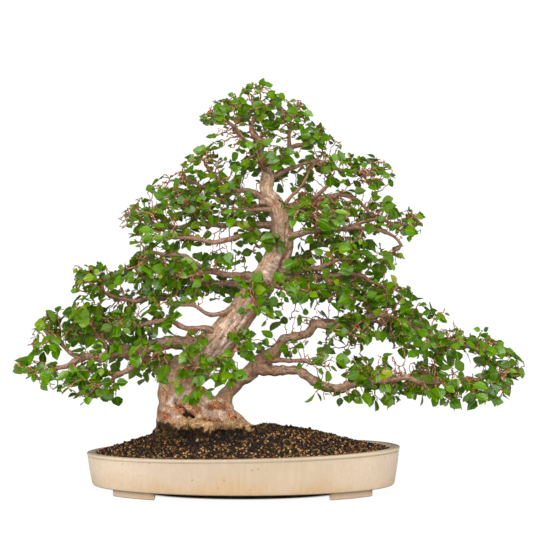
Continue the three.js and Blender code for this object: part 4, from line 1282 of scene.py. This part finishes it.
def kinked(spine, seed, amount):
    """A spine bent a little at every knuckle, where it is thicker too. Its start stays where it was."""
    dice = random.Random(seed)
    length, lengths = 0, []
    for (point, _), (before, _) in zip(spine, [spine[0]] + spine[:-1]):
        length += (point - before).length
        lengths.append(length)
    knots, shifts = [0], [Vector((0, 0, 0))]
    while knots[-1] < length:
        knots.append(knots[-1] + dice.uniform(14, 30) * MM)
        fade = min(1.0, knots[-1] / (0.06 + 0.2 * length))
        shifts.append(Vector([dice.uniform(-1, 1) for _ in range(3)]) * amount * MM * fade)
    made = []
    for (point, radius), at in zip(spine, lengths):
        after = next(i for i, knot in enumerate(knots) if knot >= at - 1e-9)
        before = max(0, after - 1)
        share = (at - knots[before]) / (knots[after] - knots[before]) if after else 0
        shift = shifts[before].lerp(shifts[after], share)
        nearest = min(abs(at - knots[before]), abs(at - knots[after]))
        swollen = 1 + 0.2 * math.exp(-(nearest / (5 * MM)) ** 2)
        made.append((point + shift, radius * swollen))
    return made


def thick_start(spine, least):
    """The stretch of a limb that is thicker than least, drawn in at its end."""
    kept = [row for row in spine if row[1] > least * MM]
    tapered = []
    for i, (point, radius) in enumerate(kept):
        left = (len(kept) - 1 - i) / 4
        tapered.append((point, radius * (0.72 + 0.28 * min(1.0, left))))
    return tapered


def stroke_share(seen_at, stroke):
    """How far each seen point is from a line of points, in half widths of that line."""
    best = np.full(len(seen_at), 1e9)
    for (ax, az, a_half), (bx, bz, b_half) in zip(stroke, stroke[1:]):
        line = np.array([bx - ax, bz - az], float)
        share = np.clip(((seen_at - [ax, az]) @ line) / (line @ line), 0, 1)
        gap = np.linalg.norm(seen_at - ([ax, az] + share[:, None] * line), axis=1)
        best = np.minimum(best, gap / (a_half + share * (b_half - a_half)))
    return best


def facing_down(piece):
    """How far each corner faces the ground, where the bark is given painted shade."""
    return np.clip(0.2 - normals_of(piece)[:, 2], 0, 1)


def beside_trunk(corners):
    """1 on the second trunk and the limbs' starts, 0 on the main trunk and the base."""
    line = [seen(*row[:3]) for row in TRUNK]
    heights = [point.z for point in line]
    beside = np.abs(corners[:, 0] - np.interp(corners[:, 2], heights, [point.x for point in line])) / MM
    thickness = np.interp(corners[:, 2], heights, [row[3] for row in TRUNK])
    above_base = np.clip((corners[:, 2] - 0.15) / 0.04, 0, 1)
    return np.clip((beside / thickness - 1.1) / 0.5, 0, 1) * above_base


def make_trunk(limb_spines):
    """The trunks, roots and thick limb ends are one skin, then carved and painted corner by corner."""
    spines = [smooth_route(TRUNK, 5), smooth_route(SECOND_TRUNK, 5), smooth_route(STUB, 4)]
    spines += [smooth_route(root, 5) for root in ROOTS]
    thick = [thick_start(spine, 7.6) for spine in limb_spines if spine[0][1] >= 9.9 * MM]
    spines += [spine for spine in thick if len(spine) > 3]
    parts = [sweep(spines[0], 48, muscles)]
    parts += [sweep(spine, 28, knuckled(i)) for i, spine in enumerate(spines[1:])]
    trunk = mesh_piece("trunk", *joined(parts)[:2])
    apply_modifier(trunk, "REMESH", mode="VOXEL", voxel_size=2.2 * MM, adaptivity=0)
    apply_modifier(trunk, "SMOOTH", factor=0.5, iterations=5)
    corners, normals = corners_of(trunk), normals_of(trunk)
    front_side = normals[:, 1] < 0.15
    grain = straightened(corners, spines)
    relief = np.empty(len(corners))
    for i, spot in enumerate(grain):
        bark = Vector((spot[0] * 80, spot[1] * 80, spot[2] * 40))
        lump = 2.8 * noise.noise(Vector(corners[i]) * 55)
        low = min(1.0, max(0.0, (0.24 - corners[i][2]) / 0.06))
        relief[i] = 1.5 * noise.noise(bark) + 1.1 * noise.noise(bark * 2.3) + lump * low
    seen_at = as_seen(corners)
    for i, point in enumerate(corners):
        if front_side[i]:
            wide, fine = noise.noise_vector(Vector(point) * 90), noise.noise_vector(Vector(point) * 260)
            bend = wide * 3.4 + fine * 1.5
            seen_at[i] += (bend.x, bend.z)
    front = smoothstep((-normals[:, 1] + 0.15) / 0.5)
    ragged = np.array([noise.noise(Vector(point) * 160) for point in corners])
    cut = np.zeros(len(corners))
    for depth, stroke in CARVING:
        share = stroke_share(seen_at, stroke) + ragged * 0.45
        cut += depth * np.exp(-share * share) * front
    corners += normals * ((relief - cut) * MM)[:, None]
    move_corners(trunk, corners)
    for kind, raggedness in RAGGED_EDGES.items():
        mask = np.zeros(len(corners))
        for patch, stroke in PATCHES:
            if patch == kind:
                share = stroke_share(seen_at, stroke) + ragged * raggedness
                mask = np.maximum(mask, np.clip(1.5 - share, 0, 1) * front)
        if kind == "earthy":
            ground = soil_height((corners[:, 0] - POT_X) / MM, corners[:, 1] / MM)
            above = corners[:, 2] / MM - ground + ragged * 16
            mask = np.maximum(mask, np.clip(1.1 - above / 12, 0, 1) * (corners[:, 2] < 0.2))
        paint(trunk, kind, mask)
    # The downward-facing corners, for the bark's painted shade.
    paint(trunk, "underside", facing_down(trunk))
    paint(trunk, "slender", beside_trunk(corners))
    # How deep each corner is carved, for the grooves' brown and painted shade.
    paint(trunk, "crease", np.clip((cut - relief - 0.4) / 4.5, 0, 1))
    paint(trunk, "grain", grain)
    smooth_shade(trunk)
    return finish_piece(trunk, trunk_bark(), "bark", "trunk_and_limbs")


def straightened(corners, spines):
    """Each corner's place in the straightened wood: across the nearest spine in two ways, and along it."""
    samples = []
    for number, spine in enumerate(spines):
        length = number * 1.7
        for i, ((point, _), turn) in enumerate(zip(spine, frames_along(spine))):
            if i:
                length += (point - spine[i - 1][0]).length
            samples.append((point, turn, length))
    tree = KDTree(len(samples))
    for i, (point, _, _) in enumerate(samples):
        tree.insert(point, i)
    tree.balance()
    grain = np.empty((len(corners), 3))
    for i, corner in enumerate(corners):
        point, index, _ = tree.find(corner)
        _, (along, side, across), length = samples[index]
        away = Vector(corner) - point
        grain[i] = (away.dot(side), away.dot(across), length + away.dot(along))
    return grain


def make_limbs(limb_spines):
    parts, thinness = [], []
    for number, spine in enumerate(limb_spines):
        flared = [(p, r * (1 + 0.5 * max(0.0, 1 - i / 3) ** 2)) for i, (p, r) in enumerate(spine)]
        sides = 10 if spine[0][1] > 6.5 * MM else 7
        part = sweep(flared, sides, knuckled(number))
        parts.append(part)
        for _, radius in spine:
            thinness += [min(1.0, max(0.0, (7 - radius / MM) / 4))] * sides
    corners, faces, grain = joined(parts)
    limbs = mesh_piece("limbs", corners, faces)
    paint(limbs, "grain", grain)
    paint(limbs, "thin", thinness)
    # The downward-facing corners, for the limbs' painted shade.
    paint(limbs, "underside", facing_down(limbs))
    smooth_shade(limbs)
    return finish_piece(limbs, limb_bark(), "bark", "trunk_and_limbs")


# Twigs

def pad_points(node, per_litre):
    """Points to grow to, spread through a pad's space, more of them near its top."""
    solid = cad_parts[node]
    places = [corner.co for corner in solid.data.vertices]
    tree = BVHTree.FromPolygons(places, [face.vertices for face in solid.data.polygons])
    low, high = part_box(node)
    size, middle = high - low, (low + high) / 2
    wanted = max(8, round(size.x * size.y * size.z * 1000 * 0.5 * per_litre))
    found = []
    for _ in range(wanted * 60):
        if len(found) >= wanted:
            break
        spot = Vector([chance.uniform(a, b) for a, b in zip(low, high)])
        if not within(tree, spot):
            continue
        rise = (spot.z - low.z) / size.z
        if chance.random() > 0.45 + 0.55 * rise:
            continue
        found.append(middle + (spot - middle) * 0.93)
    return found


def spray_points(spray):
    """Points to grow to in an open spray of leaves."""
    middle, half, count = seen(*spray[:3]), Vector(spray[3:6]) * MM, spray[6]
    found = []
    while len(found) < count:
        spot = Vector([chance.uniform(-1, 1) for _ in range(3)])
        if spot.length < 1:
            found.append(middle + spot * half)
    return found


def inside_edge(point):
    """True where a point lies within the crown's outline from the front."""
    (across, height), = as_seen(np.array([point]))
    heights = [row[0] for row in CROWN_EDGE]
    left = np.interp(height, heights, [row[1] for row in CROWN_EDGE])
    right = np.interp(height, heights, [row[2] for row in CROWN_EDGE])
    return left < across < right and heights[0] < height < heights[-1]


def stays(point):
    """False for the leaves that the clear places lack."""
    (across, height), = as_seen(np.array([point]))
    for middle_across, middle_height, half_across, half_height, share in CLEAR_PLACES:
        out = max(abs(across - middle_across) / half_across, abs(height - middle_height) / half_height)
        if out < 1 and chance.random() > share:
            return False
    return True


def within(tree, spot):
    """True inside a closed mesh: a line out of it crosses the skin an odd number of times."""
    crossings, start, way = 0, spot.copy(), Vector((0.13, 0.29, 0.95)).normalized()
    for _ in range(12):
        hit = tree.ray_cast(start, way)[0]
        if hit is None:
            break
        crossings += 1
        start = hit + way * 1e-5
    return crossings % 2 == 1


def grow_twigs(starts, goals):
    """Twigs grow step by step from the limbs towards the goals that are nearest to each of them."""
    points = np.array(starts)
    parents = np.full(len(points), -1)
    goals = np.array(goals)
    nearest = np.zeros(len(goals), int)
    gaps = np.full(len(goals), 1e9)
    for first in range(0, len(goals), 500):
        block = goals[first:first + 500]
        away = np.linalg.norm(block[:, None, :] - points[None, :, :], axis=2)
        nearest[first:first + 500] = away.argmin(axis=1)
        gaps[first:first + 500] = away.min(axis=1)
    waiting = gaps > TWIG_CLEAR * MM
    dice = np.random.default_rng(5)
    for _ in range(90):
        drawn = waiting & (gaps < TWIG_REACH * MM)
        if not drawn.any():
            break
        growing, which = np.unique(nearest[drawn], return_inverse=True)
        pull = np.zeros((len(growing), 3))
        towards = goals[drawn] - points[nearest[drawn]]
        np.add.at(pull, which, towards / np.linalg.norm(towards, axis=1)[:, None])
        pull /= np.maximum(np.linalg.norm(pull, axis=1), 1e-9)[:, None]
        pull += dice.normal(0, 0.33, pull.shape) + [0, 0, 0.12]
        pull /= np.linalg.norm(pull, axis=1)[:, None]
        new = points[growing] + pull * TWIG_STEP * MM
        first = len(points)
        points = np.vstack([points, new])
        parents = np.concatenate([parents, growing])
        alive = np.flatnonzero(waiting)
        away = np.linalg.norm(goals[alive][:, None, :] - new[None, :, :], axis=2)
        closest = away.argmin(axis=1)
        least = away[np.arange(len(alive)), closest]
        nearer = least < gaps[alive]
        nearest[alive[nearer]] = first + closest[nearer]
        gaps[alive[nearer]] = least[nearer]
        waiting[alive[least < TWIG_CLEAR * MM]] = False
    return points, parents


def twig_radii(points, parents, first_grown):
    """A twig is as thick as its tips ask for. Also gives those tips, and which points have a child."""
    tips = np.zeros(len(points))
    has_child = np.zeros(len(points), bool)
    has_child[parents[first_grown:]] = True
    for i in range(len(points) - 1, first_grown - 1, -1):
        if not has_child[i]:
            tips[i] = 1
        tips[parents[i]] += tips[i]
    return TWIG_TIP * MM * np.maximum(tips, 1) ** (1 / TWIG_CROWD), tips, has_child


def make_twigs(points, parents, radii, first_grown):
    """Each twig is a thin closed tube from its fork to its tip, with a bud at the end."""
    children = {}
    for i in range(first_grown, len(points)):
        children.setdefault(parents[i], []).append(i)
    parts, old = [], []
    chains = []
    stack = [(start, child) for start, kids in children.items() if start < first_grown for child in kids]
    while stack:
        start, node = stack.pop()
        chain = [start, node]
        while node in children:
            kids = sorted(children[node], key=lambda kid: -radii[kid])
            stack.extend((node, kid) for kid in kids[1:])
            node = kids[0]
            chain.append(node)
        chains.append(chain)
    for chain in chains:
        spine = []
        for order, node in enumerate(chain):
            thick = radii[chain[1]] if order == 0 else radii[node]
            spine.append((Vector(points[node]), thick * chance.uniform(0.88, 1.2)))
        tip, before = spine[-1][0], spine[-2][0]
        ahead = (tip - before).normalized()
        spine.append((tip + ahead * 1.6 * MM, TWIG_TIP * 1.5 * MM))
        spine.append((tip + ahead * 4.0 * MM, TWIG_TIP * 0.3 * MM))
        sides = 5 if spine[0][1] > 1.6 * MM else 4
        parts.append(sweep(spine, sides))
        for _, radius in spine:
            old += [min(1.0, max(0.0, (radius / MM - 1.0) / 1.6))] * sides
        for point, radius in spine[1:-2]:
            if chance.random() < SPUR_SHARE:
                lean = Vector([chance.gauss(0, 1) for _ in range(3)]).normalized()
                out = chance.uniform(2.0, 4.2) * MM + radius
                spur = [(point, 0.8), (point + lean * out * 0.7, 1.0), (point + lean * out, 0.2)]
                parts.append(sweep([(spot, radius * MM) for spot, radius in spur], 3))
                old += [0.0] * 9
    corners, faces, _ = joined(parts)
    twigs = mesh_piece("twigs", corners, faces)
    paint(twigs, "old", old)
    smooth_shade(twigs)
    return finish_piece(twigs, twig_bark(), "bark", "trunk_and_limbs")


# Leaves

LEAF_ROWS = [(0.06, 0.25), (0.30, 0.50), (0.60, 0.42), (0.85, 0.17)]
ACROSS = (-1, -0.5, 0, 0.5, 1)


def leaf_shape(width, fold, droop, twist):
    """One leaf of length 1 along +Y, stalk first: its corners, faces, blade places and undersides."""
    def lay(across, share):
        x = across * width * 0.5
        ripple = 0.012 * math.cos(share * 26) * (0.25 - abs(abs(across) - 0.5))
        z = fold * abs(x) - droop * share * share + ripple
        turn = twist * share
        return (x * math.cos(turn) - z * math.sin(turn), share, x * math.sin(turn) + z * math.cos(turn))
    corners, blade, faces, under = [], [], [], []
    top = {}
    bottom = {}
    for row, (share, half) in enumerate(LEAF_ROWS):
        for column, side in enumerate(ACROSS):
            spot = lay(side * half * 2, share)
            top[row, column] = bottom[row, column] = len(corners)
            corners.append(spot)
            blade.append(((side * half + 0.5), share))
            if abs(side) < 1:
                bottom[row, column] = len(corners)
                corners.append((spot[0], spot[1], spot[2] - 0.018))
                blade.append(((side * half + 0.5), share))
    start, end = len(corners), len(corners) + 1
    corners += [lay(0, 0.0), lay(0, 1.0)]
    blade += [(0.5, 0.0), (0.5, 1.0)]
    last = len(LEAF_ROWS) - 1
    for column in range(4):
        for grid, flip in ((top, False), (bottom, True)):
            made = [(start, grid[0, column + 1], grid[0, column])]
            for row in range(last):
                ends = ((row, column), (row, column + 1), (row + 1, column + 1), (row + 1, column))
                made.append(tuple(grid[end] for end in ends))
            made.append((grid[last, column], grid[last, column + 1], end))
            for face in made:
                faces.append(tuple(reversed(face)) if flip else face)
                under.append(1.0 if flip else 0.0)
    stalk = len(corners)
    for x, z in ((0.018, 0), (-0.009, 0.016), (-0.009, -0.016)):
        corners += [(x, -0.26, z + 0.03), (x, 0.03, z - 0.006)]
        blade += [(0.5, 0.0), (0.5, 0.0)]
    for a, b in ((0, 2), (2, 4), (4, 0)):
        faces.append((stalk + a, stalk + a + 1, stalk + b + 1, stalk + b))
    faces += [(stalk, stalk + 2, stalk + 4), (stalk + 5, stalk + 3, stalk + 1)]
    under += [0.0] * 5
    return np.array(corners), faces, np.array(blade), under


def leaf_turn(ahead, face, length):
    """The matrix that lays a leaf along ahead with its upper side to face."""
    ahead = ahead.normalized()
    side = ahead.cross(face)
    side = side.normalized() if side.length > 1e-4 else ahead.orthogonal().normalized()
    up = side.cross(ahead)
    return np.array([side, ahead, up]).T * length


def leaf_spots(points, parents, tips, has_child, first_grown):
    """Where each leaf sits: alternate along the last joints of every twig."""
    trunk_line = [(seen(*row[:3]), row[2] * MM) for row in TRUNK]
    spots = []
    for i in range(first_grown, len(points)):
        if tips[i] > LEAFY_TIPS:
            continue
        here, parent = Vector(points[i]), Vector(points[parents[i]])
        ahead = (here - parent).normalized()
        axis = min(trunk_line, key=lambda row: abs(row[1] - here.z))[0]
        outward = Vector((here.x - axis.x, here.y - axis.y, 0))
        outward = outward.normalized() if outward.length > 0.01 else Vector((0, -1, 0))
        if has_child[i]:
            count = 1 if chance.random() < LEAFY_JOINTS else 0
        else:
            count = chance.choice((1, 2, 2))
        for _ in range(count):
            side = ahead.cross(UP)
            side = side.normalized() if side.length > 0.05 else Vector((1, 0, 0))
            if chance.random() < 0.5:
                side = -side
            low = 1 - min(1.0, max(0.0, (here.z - 0.2) / 0.55))
            drop = chance.uniform(-0.25, 0.3) + 0.6 * low * chance.uniform(0.0, 1.0)
            direction = ahead * chance.uniform(0.1, 0.8) + side * chance.uniform(0.3, 1.0)
            direction += outward * 0.3 - UP * drop
            wild = Vector([chance.gauss(0, 0.42) for _ in range(3)])
            open_side = Vector((0, -0.45 if here.y < 0.04 else 0.45, 0))
            face = UP * 0.4 + outward * 0.5 + open_side + wild
            length = (LEAF_LENGTH[0] + (LEAF_LENGTH[1] - LEAF_LENGTH[0]) * chance.random() ** 1.4) * MM
            length *= 1 + 0.16 * low * low
            if has_child[i]:
                length *= 0.85
            matrix = leaf_turn(direction, face, length)
            centre = np.array(here) + matrix[:, 1] * 0.24
            if inside_edge(centre + matrix[:, 1] * 0.8) and stays(centre + matrix[:, 1] * 0.4):
                spots.append((matrix, centre, here))
    return spots


def make_leaves(spots):
    """The leaves of each pad are one piece. A leaf belongs to the pad whose middle is nearest to it."""
    shapes = [
        leaf_shape(0.78, 0.16, 0.10, 0.1), leaf_shape(0.86, 0.10, 0.18, -0.15),
        leaf_shape(0.68, 0.26, 0.06, 0.2), leaf_shape(0.82, 0.02, 0.24, 0.0),
        leaf_shape(0.72, 0.32, 0.15, -0.25),
    ]
    pads = [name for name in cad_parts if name.startswith("leaf_pad_")]
    boxes = {name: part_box(name) for name in pads}
    owned = {name: [] for name in pads}
    for matrix, centre, here in spots:
        best = min(pads, key=lambda name: pad_gap(here, boxes[name]))
        owned[best].append((matrix, centre))
    material = leaf_material()
    for name in pads:
        corners, faces, blade, under, tones, first = [], [], [], [], [], 0
        for matrix, centre in owned[name]:
            shape, shape_faces, shape_blade, shape_under = chance.choice(shapes)
            corners.append(shape @ matrix.T + centre)
            faces += shifted(shape_faces, first)
            blade.append(shape_blade)
            under += shape_under
            tone = min(0.97, max(0.0, chance.gauss(0.5, 0.23)))
            if chance.random() < 0.005:
                tone = 1.0
            tones += [tone] * len(shape_faces)
            first += len(shape)
        if not corners:
            continue
        piece = mesh_piece(name.replace("leaf_pad", "leaves"), np.vstack(corners), faces)
        paint(piece, "tone", tones, "FACE")
        paint(piece, "underside", under, "FACE")
        layer = piece.data.uv_layers.new(name="blade")
        loops = np.empty(len(piece.data.loops), int)
        piece.data.loops.foreach_get("vertex_index", loops)
        layer.data.foreach_set("uv", np.vstack(blade)[loops].ravel())
        smooth_shade(piece, 50)
        finish_piece(piece, material, "foliage", name)


def pad_gap(point, corners):
    """How far a point is from a box's middle, squared, in half sizes of the box."""
    low, high = corners
    middle, half = (low + high) / 2, (high - low) / 2
    return sum(((p - m) / h) ** 2 for p, m, h in zip(point, middle, half))


# Studio

def make_studio():
    """A pale floor, a white surround, and four wide soft lights: from the left, right, front and above."""
    bpy.ops.object.select_all(action="DESELECT")
    bpy.ops.mesh.primitive_plane_add(size=200, location=(0, 0, 0))
    floor = bpy.context.object
    floor.name = "floor"
    material, tree, shader = new_material("floor", roughness=0.9, specular_ior_level=0.0)
    floor.data.materials.append(material)
    # The floor is darker in the pot's own shade, and its far parts melt into the white surround.
    where = add(tree, "ShaderNodeVectorMath", {0: object_place(tree), 1: (-POT_X, 0, 0)}).outputs[0]
    oval = (2 / POT_LENGTH / MM, 2 / POT_WIDTH / MM, 0)
    away = add(tree, "ShaderNodeVectorMath", {0: where, 1: oval}, operation="MULTIPLY").outputs[0]
    away = add(tree, "ShaderNodeVectorMath", {0: away}, operation="LENGTH").outputs["Value"]
    shade = mixed(tree, fitted(tree, away, 0.62, 0.75), (0.3, 0.21, 0.16, 1), (0.82, 0.82, 0.82, 1))
    set_colour(tree, shader, shade)
    white = add(tree, "ShaderNodeEmission", {"Color": (1, 1, 1, 1), "Strength": 1.04})
    rays = add(tree, "ShaderNodeLightPath")
    melt = calc(tree, "MAXIMUM", fitted(tree, away, 0.62, 0.72, 0.0, 0.93), fitted(tree, away, 0.9, 1.12))
    melt = product(tree, melt, rays.outputs["Is Camera Ray"])
    both = add(tree, "ShaderNodeMixShader", {0: melt, 1: shader.outputs[0], 2: white.outputs[0]})
    tree.links.new(both.outputs[0], tree.nodes["Material Output"].inputs["Surface"])
    world = bpy.data.worlds.new("studio")
    bpy.context.scene.world = world
    world.use_nodes = True
    tree = world.node_tree
    seen_white, fill, dim = (
        add(tree, "ShaderNodeBackground", {"Color": (1, 1, 1, 1), "Strength": strength}).outputs[0]
        for strength in (1.05, 0.32, 0.08)
    )
    rays = add(tree, "ShaderNodeLightPath").outputs
    around = add(tree, "ShaderNodeMixShader", {0: rays["Is Glossy Ray"], 1: fill, 2: dim}).outputs[0]
    both = add(tree, "ShaderNodeMixShader", {0: rays["Is Camera Ray"], 1: around, 2: seen_white}).outputs[0]
    tree.links.new(both, tree.nodes["World Output"].inputs["Surface"])
    soft_light("key", (-1.0, -1.3, 0.55), 34, 1.75)
    soft_light("fill", (1.4, -1.0, 0.5), 38, 1.3)
    soft_light("front", (0.05, -1.6, 0.25), 16, 0.75)
    soft_light("top", (-0.1, -0.3, 1.6), 34, 1.25)


def soft_light(name, towards, spread, strength):
    """A light so far off that it falls evenly on the whole floor."""
    lamp = bpy.data.lights.new(name, "SUN")
    lamp.angle = math.radians(spread)
    lamp.energy = strength
    holder = bpy.data.objects.new(name, lamp)
    holder.location = towards
    holder.rotation_euler = (-Vector(towards)).to_track_quat("-Z", "Y").to_euler()
    bpy.context.scene.collection.objects.link(holder)


def make_camera():
    """The view from the tree's front, as wide as the picture at the aim's distance."""
    lens = bpy.data.cameras.new("camera")
    lens.sensor_width = 36
    eye, aim = place(*FRONT_EYE), place(*FRONT_AIM)
    lens.lens = 36 * (aim - eye).length / (PICTURE_WIDTH * MM)
    holder = bpy.data.objects.new("camera", lens)
    holder.location = eye
    holder.rotation_euler = (aim - eye).to_track_quat("-Z", "Y").to_euler()
    bpy.context.scene.collection.objects.link(holder)
    bpy.context.scene.camera = holder


bpy.context.scene.view_settings.view_transform = "Standard"
make_camera()
make_studio()
GRIT = grit_material()
MOSS = moss_material()
make_pot()
make_soil()
scatter_grit("grit_coarse", 5200, (3.0, 5.2))
scatter_grit("grit_fine", 8500, (2.0, 3.6))
make_moss("moss_and_crust_left", "moss_left", 0.62)
make_moss("moss_and_crust_right", "moss_right", 0.84)
limb_spines = [kinked(smooth_route(route, 4), i, 4.8) for i, route in enumerate(LIMBS)]
make_trunk(limb_spines)
make_limbs(limb_spines)
starts = [point for spine in limb_spines for point, _ in spine[4:]]
pads = [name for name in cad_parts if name.startswith("leaf_pad_")]
goals = [goal for name in pads for goal in pad_points(name, TIPS_PER_LITRE)]
goals += [goal for spray in SPRAYS for goal in spray_points(spray)]
goals = [goal for goal in goals if inside_edge(goal)]
points, parents = grow_twigs(starts, goals)
radii, tips, has_child = twig_radii(points, parents, len(starts))
make_twigs(points, parents, radii, len(starts))
make_leaves(leaf_spots(points, parents, tips, has_child, len(starts)))
scatter_sprigs(2200)
net = net_material()
for name in ("drain_net_left", "drain_net_right"):
    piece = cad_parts[name]
    piece.data.materials.clear()
    piece.data.materials.append(net)
